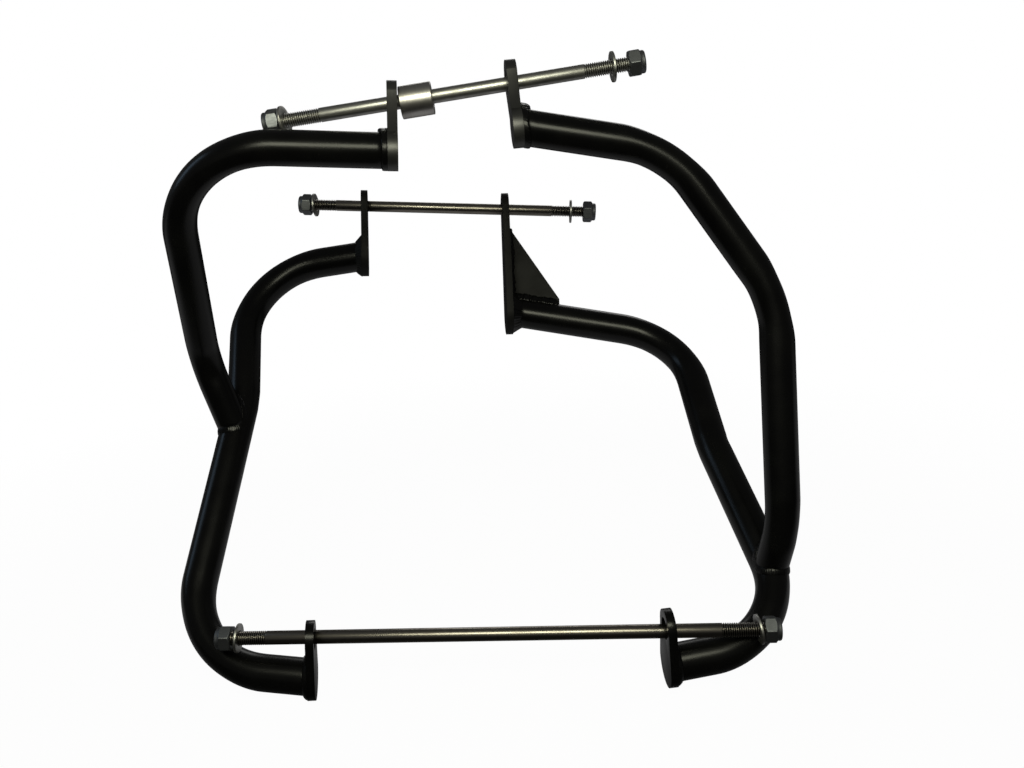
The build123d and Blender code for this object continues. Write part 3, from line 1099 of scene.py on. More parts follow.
@dataclass
class WeldBead:
    """Hand-laid fillet bead along a seam, with ripples across it."""

    name: str
    leg: float
    length: float
    fullness: float = 1.1
    closed: bool = True
    pitch: float = 2.3
    depth: float = 0.22
    uneven: float = 0.10
    lump: float = 0.0
    lump_at: float = 0.5
    lump_width: float = 0.085
    passes: int = 1
    seed: float = 0.0
    steps: int = 11
    spacing: float = 0.5
    root_sink: float = 0.4
    toe_share: float = 0.8
    toe_sink: float = 0.3
    end_share: float = 0.45
    end_rate: float = 14.0
    finish: Finish = Finishes.COAT

    def build(self, seam: list[Seam], seam_length: float, finishes: Finishes) -> None:
        """Lay the bead station by station, close it and coat it.

        Args:
            seam: Places along the weld, at even spacing.
            seam_length: Length of the seam.
            finishes: Built materials.
        """
        ripples = max(4, round(seam_length / self.pitch))
        sections = [self._section(place, index / len(seam), ripples) for index, place in enumerate(seam)]
        points = len(sections[0])
        bm = bmesh.new()
        edges = start_ring(bm, points, 1.0)[1]
        for _ in sections[1:]:
            edges = grow_ring(bm, edges, UP)[1]
        rims = [edge for edge in bm.edges if edge.is_boundary]
        if self.closed:
            bmesh.ops.bridge_loops(bm, edges=rims)
        else:
            bmesh.ops.holes_fill(bm, edges=rims, sides=0)
        for vert in bm.verts:
            spot = round(math.atan2(vert.co.y, vert.co.x) / math.tau * points) % points
            vert.co = sections[round(vert.co.z)][spot]
        bmesh.ops.recalc_face_normals(bm, faces=bm.faces)
        new_piece(f"{self.name}_bead", bm, self.finish, self.name, finishes)

    def count(self, seam_length: float) -> int:
        """Number of stations for a seam.

        Args:
            seam_length: Length of the seam.

        Returns:
            The number.
        """
        return max(12, round(seam_length / self.spacing))

    def _wave(self, share: float, first: int, seed: float) -> float:
        """Slow change along the seam that meets itself, from -1 to 1.

        Args:
            share: Place along the seam, from 0 to 1.
            first: Waves in the slowest part.
            seed: Number that sets this change apart.

        Returns:
            The change.
        """
        turn = math.tau * share
        parts = ((0.5, first, 1.0), (0.3, 2 * first + 1, 2.3), (0.2, 4 * first + 1, 4.1))
        return sum(size * math.sin(waves * turn + seed * shift) for size, waves, shift in parts)

    def _section(self, place: Seam, share: float, ripples: int) -> list[Vector]:
        """Points round the bead at one place.

        Args:
            place: The place.
            share: Its position along the seam, from 0 to 1.
            ripples: Ripples along the whole seam.

        Returns:
            The points, from the root round the face.
        """
        away = (place.foot + place.rise).normalized()
        grow = 1.0
        if not self.closed:
            rise = math.sqrt(min(share, 1.0 - share) * self.end_rate)
            grow = min(1.0, self.end_share + (1.0 - self.end_share) * rise)
        gap = abs((share - self.lump_at + 0.5) % 1.0 - 0.5) / self.lump_width
        swell = self.lump * math.exp(-(gap**2)) * (1.0 + 0.5 * self._wave(share, 7, self.seed + 2.0))
        leg = (self.leg * (1.0 + self.uneven * self._wave(share, 2, self.seed)) + swell) * grow
        length = (self.length * (1.0 + self.uneven * self._wave(share, 3, self.seed + 1.3)) + swell) * grow
        foot_toe = place.root + place.foot * (self.toe_share * leg) - place.rise * self.toe_sink
        rise_toe = place.root + place.rise * (self.toe_share * length) - place.foot * self.toe_sink
        points = [place.root - away * self.root_sink, foot_toe]
        for step in range(self.steps + 1):
            angle = math.pi / 2 * step / self.steps
            across = math.cos(angle) ** (2.0 / self.fullness) if step < self.steps else 0.0
            along = math.sin(angle) ** (2.0 / self.fullness)
            anchored = abs(math.sin(2.0 * self.passes * angle)) ** 0.7 if 0 < step < self.steps else 0.0
            height = self._ripple(share, step / self.steps, ripples) * anchored
            face = place.foot * (leg * across) + place.rise * (length * along)
            points.append(place.root + face + away * height)
        points.append(rise_toe)
        return points

    def _ripple(self, share: float, rank: float, ripples: int) -> float:
        """Height of the ripples, which bow along the seam.

        Args:
            share: Place along the seam, from 0 to 1.
            rank: Place across the bead, from 0 to 1.
            ripples: Ripples along the whole seam.

        Returns:
            The height in millimetres.
        """
        row = math.floor(rank * self.passes * 0.999)
        local = rank * self.passes - row
        bow = 0.55 * (2.0 * local - 1.0) ** 2
        phase = share * ripples + bow + 0.37 * row + 0.3 * self._wave(share, 3, self.seed + row)
        crest = 1.0 - abs(2.0 * (phase % 1.0) - 1.0) ** 1.7
        return self.depth * (1.5 * crest - 0.5 + 0.6 * self._wave(share, 5, self.seed + 3.0 * row))


# One half of the set


@dataclass
class TubeHalf:
    """Main tube, upper tube, three tabs and their welds."""

    side: Side
    lower: TabPlate
    middle: TabPlate
    top: TabPlate
    main_bends: tuple[Point, ...]
    main_radii: tuple[float, ...]
    upper_bends: tuple[Point, ...]
    upper_radii: tuple[float, ...]
    branch_distance: float
    welds: tuple[WeldBead, WeldBead, WeldBead, WeldBead]
    main_d: float = 26.9
    upper_d: float = 24.95

    def main_route(self) -> Route:
        """Centre line of the main tube, from the middle tab to the lower tab."""
        bends = [Vector(point) for point in self.main_bends]
        start = self.middle.seat().translation
        finish = self.lower.seat().translation
        return Route((start, *bends, finish), self.main_radii)

    def upper_route(self) -> Route:
        """Centre line of the upper tube, from the top tab to the main tube's centre line."""
        bends = [Vector(point) for point in self.upper_bends]
        start = self.top.seat().translation
        landing = self.main_route().at(self.branch_distance)
        return Route((start, *bends, landing), self.upper_radii)

    def build(self, finishes: Finishes) -> None:
        """Build the half's tubes, tabs and welds.

        Args:
            finishes: Built materials.
        """
        label = self.side.name.lower()
        main = self.main_route()
        upper = self.upper_route()
        main_seats = [self.middle.seat(), self.lower.seat()]
        BentTube(f"{label}_main_tube", main, self.main_d, main_seats).build(finishes)
        saddle = BentTube(f"{label}_upper_tube", upper, self.upper_d, [self.top.seat()]).build(
            finishes, CentreLine(main), self.main_d / 2
        )
        for tab in (self.lower, self.middle, self.top):
            tab.build(finishes)
        lower_bead, middle_bead, top_bead, branch_bead = self.welds
        self._branch_weld(branch_bead, saddle, main, upper, finishes)
        for tab, bend, radius, bead in (
            (self.lower, self.main_bends[-1], self.main_d / 2, lower_bead),
            (self.middle, self.main_bends[0], self.main_d / 2, middle_bead),
            (self.top, self.upper_bends[0], self.upper_d / 2, top_bead),
        ):
            self._tab_weld(tab, Vector(bend), radius, bead, finishes)

    @staticmethod
    def _branch_weld(
        bead: WeldBead, saddle: list[Vector], main: Route, upper: Route, finishes: Finishes
    ) -> None:
        """Lay the bead along the saddle of the Y joint.

        Args:
            bead: The bead.
            saddle: Points of the coped end, in order.
            main: Main tube's route.
            upper: Upper tube's route.
            finishes: Built materials.
        """
        main_line = CentreLine(main)
        upper_line = CentreLine(upper)
        total = sum((b - a).length for a, b in zip(saddle, saddle[1:] + saddle[:1]))
        seam = []
        for point in even_loop(saddle, bead.count(total)):
            off_main = (point - main_line.nearest(point)).normalized()
            off_upper = (point - upper_line.nearest(point)).normalized()
            foot = (off_upper - off_main * off_upper.dot(off_main)).normalized()
            rise = (off_main - off_upper * off_main.dot(off_upper)).normalized()
            seam.append(Seam(point, foot, rise))
        bead.build(seam, total, finishes)

    @staticmethod
    def _tab_weld(tab: TabPlate, bend: Vector, radius: float, bead: WeldBead, finishes: Finishes) -> None:
        """Lay the bead round a tube's end on its tab.

        Args:
            tab: The tab.
            bend: Next bend point of the tube.
            radius: Tube's radius.
            bead: The bead.
            finishes: Built materials.
        """
        seat = tab.seat()
        outward = seat.to_3x3().col[2].normalized()
        along = (bend - seat.translation).normalized()
        total = math.tau * radius
        count = bead.count(total)
        seam = []
        for step in range(count):
            angle = math.tau * step / count
            spoke = seat.to_3x3() @ Vector((math.cos(angle), math.sin(angle), 0.0))
            flat = (spoke - along * spoke.dot(along)).normalized()
            root = seat.translation + flat * radius
            root -= along * ((root - seat.translation).dot(outward) / along.dot(outward))
            foot = flat - along * (flat.dot(outward) / along.dot(outward))
            seam.append(Seam(root, foot.normalized(), along))
        bead.build(seam, total, finishes)


@dataclass
class Gusset:
    """Triangular plate between the right middle tab and its tube, with beads on its front."""

    tab: TabPlate
    bend: Point
    tube_r: float
    upright_bead: WeldBead
    level_bead: WeldBead
    thickness: float = 4.0
    length: float = 44.0
    eye_distance: float = 17.5
    nose: float = 5.0
    sink: float = 1.2
    edge_round: float = 0.6
    edge_segments: int = 3
    bead_start: float = 1.5
    upright_end: float = 2.0
    level_end: float = 1.0

    def build(self, finishes: Finishes) -> None:
        """Cut the plate, round its edges and lay its beads.

        Args:
            finishes: Built materials.
        """
        seat = self.tab.seat()
        down = seat.to_3x3().col[0].normalized()
        run = (Vector(self.bend) - seat.translation).normalized()
        place = axes_matrix(seat.translation, down, down.cross(run).normalized())
        across = place.to_3x3().col[1].normalized()
        slope = run.dot(down) / run.dot(across)
        crown = self.tube_r / math.cos(run.angle(across))
        top = self.eye_distance - self.tab.reach
        end = slope * self.length - crown
        corners = [
            (top, 0.0),
            (-crown + self.sink, 0.0),
            (end + self.sink, self.length),
            (end - self.nose, self.length),
        ]
        bm = bmesh.new()
        verts = [bm.verts.new((x, y, -self.thickness / 2)) for x, y in corners]
        for first, second in zip(verts, verts[1:] + verts[:1]):
            bm.edges.new((first, second))
        plate_from_outline(bm, self.thickness, self.edge_round, self.edge_segments)
        new_piece("right_middle_gusset_plate", bm, Finishes.SHEET, "right_middle_gusset", finishes, place)
        self._weld_to_tab(place, top + self.bead_start, -crown - self.upright_end, finishes)
        self._weld_to_tube(place, slope, crown, finishes)

    def _weld_to_tab(self, place: Matrix, low: float, high: float, finishes: Finishes) -> None:
        """Lay the bead down the tab.

        Args:
            place: Axes of the plate.
            low: Start of the bead, measured down the tab.
            high: End of the bead.
            finishes: Built materials.
        """
        bead = self.upright_bead
        turn = place.to_3x3()
        count = bead.count(high - low)
        seam = []
        for step in range(count + 1):
            x = low + (high - low) * step / count
            seam.append(Seam(place @ Vector((x, 0.0, self.thickness / 2)), turn.col[1], turn.col[2]))
        bead.build(seam, high - low, finishes)

    def _weld_to_tube(self, place: Matrix, slope: float, crown: float, finishes: Finishes) -> None:
        """Lay the bead along the tube.

        Args:
            place: Axes of the plate.
            slope: Fall of the tube along the plate.
            crown: Height of the tube's top line above its centre, at the tab.
            finishes: Built materials.
        """
        bead = self.level_bead
        turn = place.to_3x3()
        front = self.thickness / 2
        low, high = self.bead_start, self.length - self.level_end
        count = bead.count(high - low)
        near = math.sqrt(self.tube_r**2 - front**2)
        drop = near - math.sqrt(self.tube_r**2 - (front + bead.length) ** 2)
        rise = turn @ Vector((drop, 0.0, bead.length)).normalized()
        line = self.tube_r - near
        seam = []
        for step in range(count + 1):
            y = low + (high - low) * step / count
            seam.append(Seam(place @ Vector((slope * y - crown + line, y, front)), -turn.col[0], rise))
        bead.build(seam, high - low, finishes)


# Studs, nuts, washers and spacer


@dataclass
class StudSet:
    """Through stud with a washer and a lock nut at each end."""

    name: str
    left: TabPlate
    right: TabPlate
    length: float
    overhang: float
    finish: Finish
    threads: tuple[float, float]
    gaps: tuple[float, float]
    tilts: tuple[float, float]
    swings: tuple[float, float]
    turns: tuple[float, float]
    radius: float = 5.0
    pitch: float = 1.5
    thread_depth: float = 0.86
    thread_steps: int = 28
    chamfer: float = 1.0
    nut_recess: float = 0.5
    shank_lap: float = 0.2
    shank_relief: float = 0.06
    shank_round: float = 0.5
    shank_segments: int = 48

    def axes(self) -> Matrix:
        """Own axes: origin at the left end, Z along the stud, X to the front."""
        left = Vector(self.left.rest)
        along = (Vector(self.right.rest) - left).normalized()
        return axes_matrix(left - along * self.overhang, Vector((0.0, -1.0, 0.0)), along)

    def end_axes(self, end: End) -> Matrix:
        """Axes at one end, Z out of the stud and X to the front.

        Args:
            end: Which end.

        Returns:
            The axes.
        """
        place = self.axes()
        front = place.to_3x3().col[0]
        along = place.to_3x3().col[2]
        if end is End.RIGHT:
            return axes_matrix(place.translation + along * self.length, front, along)
        return axes_matrix(place.translation, front, -along)

    def build(self, finishes: Finishes) -> None:
        """Build the stud and what is on it.

        Args:
            finishes: Built materials.
        """
        bm = bmesh.new()
        self._thread(bm, 0.0, self.threads[0], True)
        self._thread(bm, self.length - self.threads[1], self.length, False)
        self._shank(bm)
        new_piece(f"{self.name}_stud_bar", bm, self.finish, f"{self.name}_stud", finishes, self.axes())
        for index, end in enumerate(End):
            node = f"{self.name}_{end.value}"
            nut = LockNut()
            seat = self.end_axes(end) @ Matrix.Translation((0.0, 0.0, self.nut_recess - nut.height()))
            nut.build(f"{node}_nut", seat, self.turns[index], finishes)
            washer = Washer()
            drop = -self.gaps[index] - washer.thickness
            flat = seat @ Matrix.Translation((0.0, 0.0, drop))
            front = flat.to_3x3().col[0]
            upright = front.cross(self.axes().to_3x3().col[2])
            hang = Matrix.Rotation(math.radians(self.swings[index]), 3, upright) @ Matrix.Rotation(
                math.radians(self.tilts[index]), 3, front
            )
            place = (hang @ flat.to_3x3()).to_4x4()
            place.translation = flat.translation
            washer.build(f"{node}_washer", place, finishes)

    def _thread(self, bm: bmesh.types.BMesh, low: float, high: float, starts: bool) -> None:
        """Roll a thread between two heights and close its ends.

        Args:
            bm: Mesh to add to.
            low: Lower end.
            high: Upper end.
            starts: Whether the chamfered end is the lower one.
        """
        part = bmesh.new()
        root = self.radius - self.thread_depth
        section = [
            (root, 0.0),
            (root, 0.10),
            (self.radius, 0.42),
            (self.radius, 0.56),
            (root, 0.88),
            (root, 1.0),
        ]
        begin = low - self.pitch
        verts = [part.verts.new((radius, 0.0, begin + share * self.pitch)) for radius, share in section]
        edges = [part.edges.new(pair) for pair in zip(verts, verts[1:])]
        turns = math.ceil((high - low) / self.pitch) + 2
        bmesh.ops.spin(
            part,
            geom=verts + edges,
            cent=ORIGIN,
            axis=UP,
            dvec=(0.0, 0.0, self.pitch / self.thread_steps),
            angle=math.tau * turns,
            steps=self.thread_steps * turns,
            use_duplicate=False,
        )
        bmesh.ops.remove_doubles(part, verts=part.verts, dist=0.004)
        for height, normal in ((low, (0.0, 0.0, -1.0)), (high, UP)):
            bmesh.ops.bisect_plane(
                part,
                geom=part.verts[:] + part.edges[:] + part.faces[:],
                dist=0.0001,
                plane_co=(0.0, 0.0, height),
                plane_no=normal,
                clear_outer=True,
            )
        bmesh.ops.holes_fill(part, edges=[edge for edge in part.edges if edge.is_boundary], sides=0)
        tip = low if starts else high
        for vert in part.verts:
            reach = math.hypot(vert.co.x, vert.co.y)
            limit = self.radius - self.chamfer + abs(vert.co.z - tip)
            if reach > limit:
                vert.co.x *= limit / reach
                vert.co.y *= limit / reach
        bmesh.ops.recalc_face_normals(part, faces=part.faces)
        scratch = bpy.data.meshes.new("thread")
        part.to_mesh(scratch)
        part.free()
        bm.from_mesh(scratch)
        bpy.data.meshes.remove(scratch)

    def _shank(self, bm: bmesh.types.BMesh) -> None:
        """Add the plain middle of the stud.

        Args:
            bm: Mesh to add to.
        """
        low = self.threads[0] - self.shank_lap
        high = self.length - self.threads[1] + self.shank_lap
        ring = bmesh.ops.create_circle(
            bm,
            cap_ends=True,
            segments=self.shank_segments,
            radius=self.radius - self.shank_relief,
            matrix=Matrix.Translation((0.0, 0.0, low)),
        )
        caps = list({face for vert in ring["verts"] for face in vert.link_faces})
        raised = bmesh.ops.extrude_face_region(bm, geom=caps, use_keep_orig=True)
        tops = new_verts(raised)
        bmesh.ops.translate(bm, verts=tops, vec=(0.0, 0.0, high - low))
        shank = list({face for vert in ring["verts"] + tops for face in vert.link_faces})
        bmesh.ops.recalc_face_normals(bm, faces=shank)
        round_rims(bm, list({edge for face in shank for edge in face.edges}), self.shank_round, 2)


@dataclass
class LockNut:
    """Hexagon nut with a round collar that holds a nylon ring."""

    across: float = 17.0
    hex_height: float = 8.2
    collar_height: float = 3.3
    collar_d: float = 15.6
    chamfer: float = 1.0
    collar_round: float = 1.2
    bore_r: float = 5.1
    pocket_r: float = 6.7
    lip_r: float = 6.1
    lip: float = 0.7
    ring_gap: float = 0.05
    ring_round: float = 0.3
    blunt: float = 0.12
    chamfer_levels: tuple[float, ...] = (0.0, 0.2, 0.45, 0.7, 0.95, 1.2)
    bore_chamfer: float = 0.6
    pocket_depth: float = 0.2
    lip_chamfer: float = 0.15
    segments: int = 144

    def height(self) -> float:
        """Height of the nut with its collar."""
        return self.hex_height + self.collar_height

    def _radius(self, angle: float, height: float) -> float:
        """Reach of the hexagon at an angle and height, with its chamfers.

        Args:
            angle: Angle round the nut.
            height: Height above the bearing face.

        Returns:
            The reach.
        """
        flat = self.across / 2
        corner = flat / math.cos(math.pi / 6)
        share = (angle + math.pi / 6) % (math.pi / 3) - math.pi / 6
        hexagon = min(flat / math.cos(share), corner - self.blunt)
        rest = min(height, self.hex_height - height)
        cone = flat - 0.1 + (corner - flat) * max(0.0, rest) / self.chamfer
        return min(hexagon, cone)

    def build(self, name: str, place: Matrix, turn: float, finishes: Finishes) -> None:
        """Build the nut and its nylon ring.

        Args:
            name: Node of the nut.
            place: Axes on the bearing face, Z out of the stud.
            turn: Turn of the hexagon in degrees.
            finishes: Built materials.
        """
        new_piece(f"{name}_body", self._body(math.radians(turn)), Finishes.NUT, name, finishes, place)
        low = self.hex_height
        high = self.height() - self.lip - self.ring_gap
        inner, outer = self.bore_r - self.ring_gap, self.pocket_r - self.ring_gap
        section = [(inner, low), (outer, low), (outer, high), (inner, high)]
        ring = lathe(rounded_profile(section, self.ring_round))
        new_piece(f"{name}_insert_ring", ring, Finishes.NYLON, f"{name}_insert", finishes, place)

    def _body(self, turn: float) -> bmesh.types.BMesh:
        """Draw the nut ring by ring from the bore round to the bore.

        Args:
            turn: Turn of the hexagon.

        Returns:
            The closed mesh.
        """
        rises = list(self.chamfer_levels)
        hexes = rises + [self.hex_height / 2] + [self.hex_height - rise for rise in reversed(rises)]
        collar = self.collar_d / 2
        top = self.height()
        floor = self.hex_height - self.pocket_depth
        rounds = [
            (
                collar - self.collar_round + self.collar_round * math.cos(step * math.pi / 8),
                top - self.collar_round + self.collar_round * math.sin(step * math.pi / 8),
            )
            for step in range(5)
        ]
        mouth = self.bore_r + self.bore_chamfer
        levels = [(self.bore_r, floor), (self.bore_r, self.bore_chamfer), (mouth, 0.0)]
        levels += [(None, height) for height in hexes]
        levels += [(collar + 0.25, self.hex_height), (collar, self.hex_height + 0.3), *rounds]
        levels += [
            (self.lip_r + self.lip_chamfer, top),
            (self.lip_r, top - self.lip_chamfer),
            (self.lip_r, top - self.lip),
            (self.pocket_r, top - self.lip),
            (self.pocket_r, floor),
        ]
        bm = bmesh.new()
        verts, edges = start_ring(bm, self.segments, 1.0)
        for index, (radius, height) in enumerate(levels):
            if index:
                verts, edges = grow_ring(bm, edges)
            for vert in verts:
                angle = math.atan2(vert.co.y, vert.co.x)
                reach = radius if radius is not None else self._radius(angle - turn, height)
                vert.co = (reach * math.cos(angle), reach * math.sin(angle), height)
        bmesh.ops.bridge_loops(bm, edges=[edge for edge in bm.edges if edge.is_boundary])
        bmesh.ops.recalc_face_normals(bm, faces=bm.faces)
        return bm


@dataclass
class Washer:
    """Punched flat washer with softened edges."""

    outer_r: float = 10.5
    inner_r: float = 5.4
    thickness: float = 1.8
    edge: float = 0.35

    def build(self, name: str, place: Matrix, finishes: Finishes) -> None:
        """Spin the washer and plate it.

        Args:
            name: Node of the washer.
            place: Axes on its lower face.
            finishes: Built materials.
        """
        section = [
            (self.inner_r, 0.0),
            (self.outer_r, 0.0),
            (self.outer_r, self.thickness),
            (self.inner_r, self.thickness),
        ]
        new_piece(
            f"{name}_disc", lathe(rounded_profile(section, self.edge)), Finishes.ZINC, name, finishes, place
        )


@dataclass
class Spacer:
    """Turned sleeve on the top stud, beside the left tab."""

    outer_r: float = 11.3
    inner_r: float = 5.9
    length: float = 22.8
    edge: float = 0.6
    gap: float = 0.2
    hang: float = 0.8

    def build(self, studs: StudSet, finishes: Finishes) -> None:
        """Turn the sleeve and set it beside the tab.

        Args:
            studs: Stud that carries it.
            finishes: Built materials.
        """
        place = Matrix.Translation((0.0, 0.0, -self.hang)) @ studs.axes()
        along = place.to_3x3().col[2]
        tab = studs.left.axes()
        outward = tab.to_3x3().col[2]
        face = (tab.translation - place.translation).dot(outward) / along.dot(outward)
        start = face + self.outer_r * math.tan(along.angle(-outward)) + self.gap
        section = [
            (self.inner_r, 0.0),
            (self.outer_r, 0.0),
            (self.outer_r, self.length),
            (self.inner_r, self.length),
        ]
        bm = lathe(rounded_profile(section, self.edge, 3))
        new_piece(
            "top_spacer_sleeve",
            bm,
            Finishes.TURNED,
            "top_spacer",
            finishes,
            place @ Matrix.Translation((0.0, 0.0, start)),
        )


# Stage


@dataclass(frozen=True)
class Lamp:
    """Soft rectangular lamp, placed in metres, with its power in watts."""

    name: str
    at: Point
    toward: Point
    width: float
    height: float
    power: float
    colour: Point

    def build(self) -> None:
        """Add the lamp to the scene."""
        data = bpy.data.lights.new(self.name, "AREA")
        data.shape = "RECTANGLE"
        data.size = self.width
        data.size_y = self.height
        data.energy = self.power
        data.color = self.colour
        lamp = bpy.data.objects.new(self.name, data)
        aim = (Vector(self.toward) - Vector(self.at)).to_track_quat("-Z", "Y").to_matrix().to_4x4()
        lamp.matrix_world = Matrix.Translation(Vector(self.at)) @ aim
        bpy.context.scene.collection.objects.link(lamp)


@dataclass
class Studio:
    """Floor, world, lamps and camera."""

    focal_px: float = 950.0
    width_px: float = 1024.0
    sensor: float = 36.0
    camera_at: Point = (77.3, -599.4, 343.5)
    camera_right: Point = (0.99619, 0.06625, -0.05669)
    camera_up: Point = (0.03743, 0.26230, 0.96426)
    floor_gap: float = 0.5
    floor_size: float = 6.0
    glossy_level: float = 0.07
    front_card: tuple[float, float] = (-0.02, 0.10)
    card_level: float = 0.012
    below_level: float = 0.25
    back_edge: tuple[float, float] = (0.4, 0.9)
    back_share: float = 0.1
    ambient: float = 0.05
    shadow_middle: Point = (0.0, 0.14, 0.0)
    shadow_reach: float = 0.42
    plain_share: float = 0.975
    lamps: tuple[Lamp, ...] = (
        Lamp("key", (0.03, -0.66, 0.68), (0.0, 0.1, 0.2), 0.76, 0.26, 5.2, (1.0, 1.0, 0.78)),
        Lamp("back", (0.0, 1.8, 1.0), (0.0, 0.15, 0.2), 1.2, 0.6, 4.0, (1.0, 1.0, 0.97)),
        Lamp("window", (-1.92, 0.19, 1.09), (-0.2, 0.1, 0.1), 0.45, 0.9, 1.7, (0.55, 0.76, 1.0)),
    )

    def build(self) -> None:
        """Set up everything round the object."""
        scene = bpy.context.scene
        scene.view_settings.view_transform = "Standard"
        self._camera(scene)
        self._world(scene)
        self._floor()
        for lamp in self.lamps:
            lamp.build()

    def _camera(self, scene: bpy.types.Scene) -> None:
        """Place the camera.

        Args:
            scene: The scene.
        """
        data = bpy.data.cameras.new("view")
        data.sensor_fit = "HORIZONTAL"
        data.sensor_width = self.sensor
        data.lens = self.focal_px * self.sensor / self.width_px
        data.clip_start = 0.01
        camera = bpy.data.objects.new("view", data)
        right = Vector(self.camera_right).normalized()
        up = Vector(self.camera_up)
        up = (up - right * up.dot(right)).normalized()
        turn = Matrix((right, up, right.cross(up))).transposed().to_4x4()
        camera.matrix_world = Matrix.Translation(Vector(self.camera_at) * MM) @ turn
        scene.collection.objects.link(camera)
        scene.camera = camera

    def _rays(self, nodes: NodeTree) -> tuple[object, object]:
        """What kind of ray meets the surroundings.

        Args:
            nodes: Tree to add to.

        Returns:
            Output sockets: 1 for a ray that sees the backdrop itself, and 1 for a glossy ray.
        """
        path = nodes.add("ShaderNodeLightPath").outputs
        seen = nodes.math("ADD", path["Is Camera Ray"], path["Is Transmission Ray"], clamp=True)
        return seen, path["Is Glossy Ray"]

    def _world(self, scene: bpy.types.Scene) -> None:
        """White backdrop, dimmer in reflections, with a low even light on the object.

        Args:
            scene: The scene.
        """
        world = bpy.data.worlds.new("studio")
        world.use_nodes = True
        world.node_tree.nodes.clear()
        nodes = NodeTree(world.node_tree)
        seen, glossy = self._rays(nodes)
        raised = nodes.math("MULTIPLY", glossy, self.glossy_level - self.ambient)
        level = nodes.math("ADD", raised, self.ambient)
        strength = nodes.math("MAXIMUM", seen, level)
        white = nodes.add("ShaderNodeBackground", {"Color": (1.0, 1.0, 1.0, 1.0), "Strength": strength})
        nodes.add("ShaderNodeOutputWorld", {"Surface": white.outputs[0]})
        scene.world = world

    def _floor(self) -> None:
        """Pale floor that runs into the white backdrop and keeps a faint shadow."""
        low, _ = cad_box
        bm = bmesh.new()
        bmesh.ops.create_grid(bm, x_segments=1, y_segments=1, size=self.floor_size / 2)
        bmesh.ops.translate(bm, verts=bm.verts, vec=(0.0, 0.0, low[2] - self.floor_gap * MM))
        mesh = bpy.data.meshes.new("floor")
        bm.to_mesh(mesh)
        bm.free()
        floor = bpy.data.objects.new("floor", mesh)
        bpy.context.scene.collection.objects.link(floor)
        mesh.materials.append(self._floor_material())

    def _floor_material(self) -> bpy.types.Material:
        """Matt white near the object, plain white backdrop farther off.

        Returns:
            The material.
        """
        material = bpy.data.materials.new("floor_white")
        material.use_nodes = True
        material.node_tree.nodes.clear()
        nodes = NodeTree(material.node_tree)
        seen, glossy = self._rays(nodes)
        place = nodes.add("ShaderNodeTexCoord").outputs["Object"]
        far = nodes.add("ShaderNodeVectorMath", {0: place, 1: self.shadow_middle}, operation="DISTANCE")
        edges = (self.shadow_reach, 2 * self.shadow_reach)
        plain = nodes.span(far.outputs["Value"], *edges, self.plain_share, 1.0)
        depth = nodes.add("ShaderNodeSeparateXYZ", {0: place}).outputs["Y"]
        below = nodes.span(depth, *self.front_card, self.card_level, self.below_level)
        beyond = nodes.span(depth, *self.back_edge, 1.0, self.back_share)
        share = nodes.math("MAXIMUM", nodes.math("MULTIPLY", seen, plain), glossy)
        strength = nodes.math("MAXIMUM", seen, nodes.math("MULTIPLY", below, beyond))
        matt = nodes.add("ShaderNodeBsdfDiffuse", {"Color": (0.8, 0.8, 0.8, 1.0)})
        white = nodes.add("ShaderNodeEmission", {"Color": (1.0, 1.0, 1.0, 1.0), "Strength": strength})
        mixed = nodes.add("ShaderNodeMixShader", {0: share, 1: matt.outputs[0], 2: white.outputs[0]})
        nodes.add("ShaderNodeOutputMaterial", {"Surface": mixed.outputs[0]})
        return material


# The set


def left_half() -> TubeHalf:
    """Left half of the set."""
    return TubeHalf(
        side=Side.LEFT,
        lower=TabPlate(
            name="left_lower_tab", rest=(-124.5, 0.0, 0.0), side=Side.LEFT, lean=-5.5, splay=4.5,
            swing=11.0, lift=-1.9, reach=32.1, eye_r=13.5, base_r=16.8,
        ),
        middle=TabPlate(
            name="left_middle_tab", rest=(-119.4, 284.0, 282.0), side=Side.LEFT, lean=19.5, splay=4.0,
            swing=11.0, lift=0.8, reach=48.0, eye_r=14.0, base_r=18.25, hole_r=6.4, finish=Finishes.SHEET,
        ),
        top=TabPlate(
            name="left_top_tab", rest=(-47.7, 86.0, 366.0), side=Side.LEFT, lean=24.0, splay=4.0,
            swing=11.0, lift=0.5, reach=36.1, eye_r=14.5, base_r=13.9, foot_r=10.5, thickness=7.2,
            # Coat copy painted lighter: painted light on this tab's front edge.
            finish=Finishes.LIT_STRAP,
        ),
        main_bends=((-234.4, 264.0, 226.8), (-216.3, 165.8, 132.6), (-231.5, 8.6, -26.2)),
        main_radii=(69.4, 75.7, 69.0),
        upper_bends=((-205.2, 52.9, 346.6), (-236.0, 143.7, 174.2)),
        upper_radii=(78.5, 72.9),
        branch_distance=245.0,
        welds=(
            WeldBead(
                "left_lower_weld", leg=2.8, length=3.6, fullness=1.5, depth=0.08, uneven=0.06, seed=0.4,
            ),
            WeldBead(
                "left_middle_weld", leg=4.6, length=5.4, fullness=1.0, depth=0.4, uneven=0.2, lump=1.2,
                seed=1.9, finish=Finishes.SHEET,
            ),
            WeldBead(
                "left_top_weld", leg=1.3, length=4.0, fullness=5.0, depth=0.05, uneven=0.05, lump=1.9,
                seed=2.6,
            ),
            WeldBead(
                "left_branch_weld", leg=2.9, length=2.4, fullness=1.2, pitch=1.5, depth=0.35, uneven=0.15,
                seed=3.3,
            ),
        ),
    )


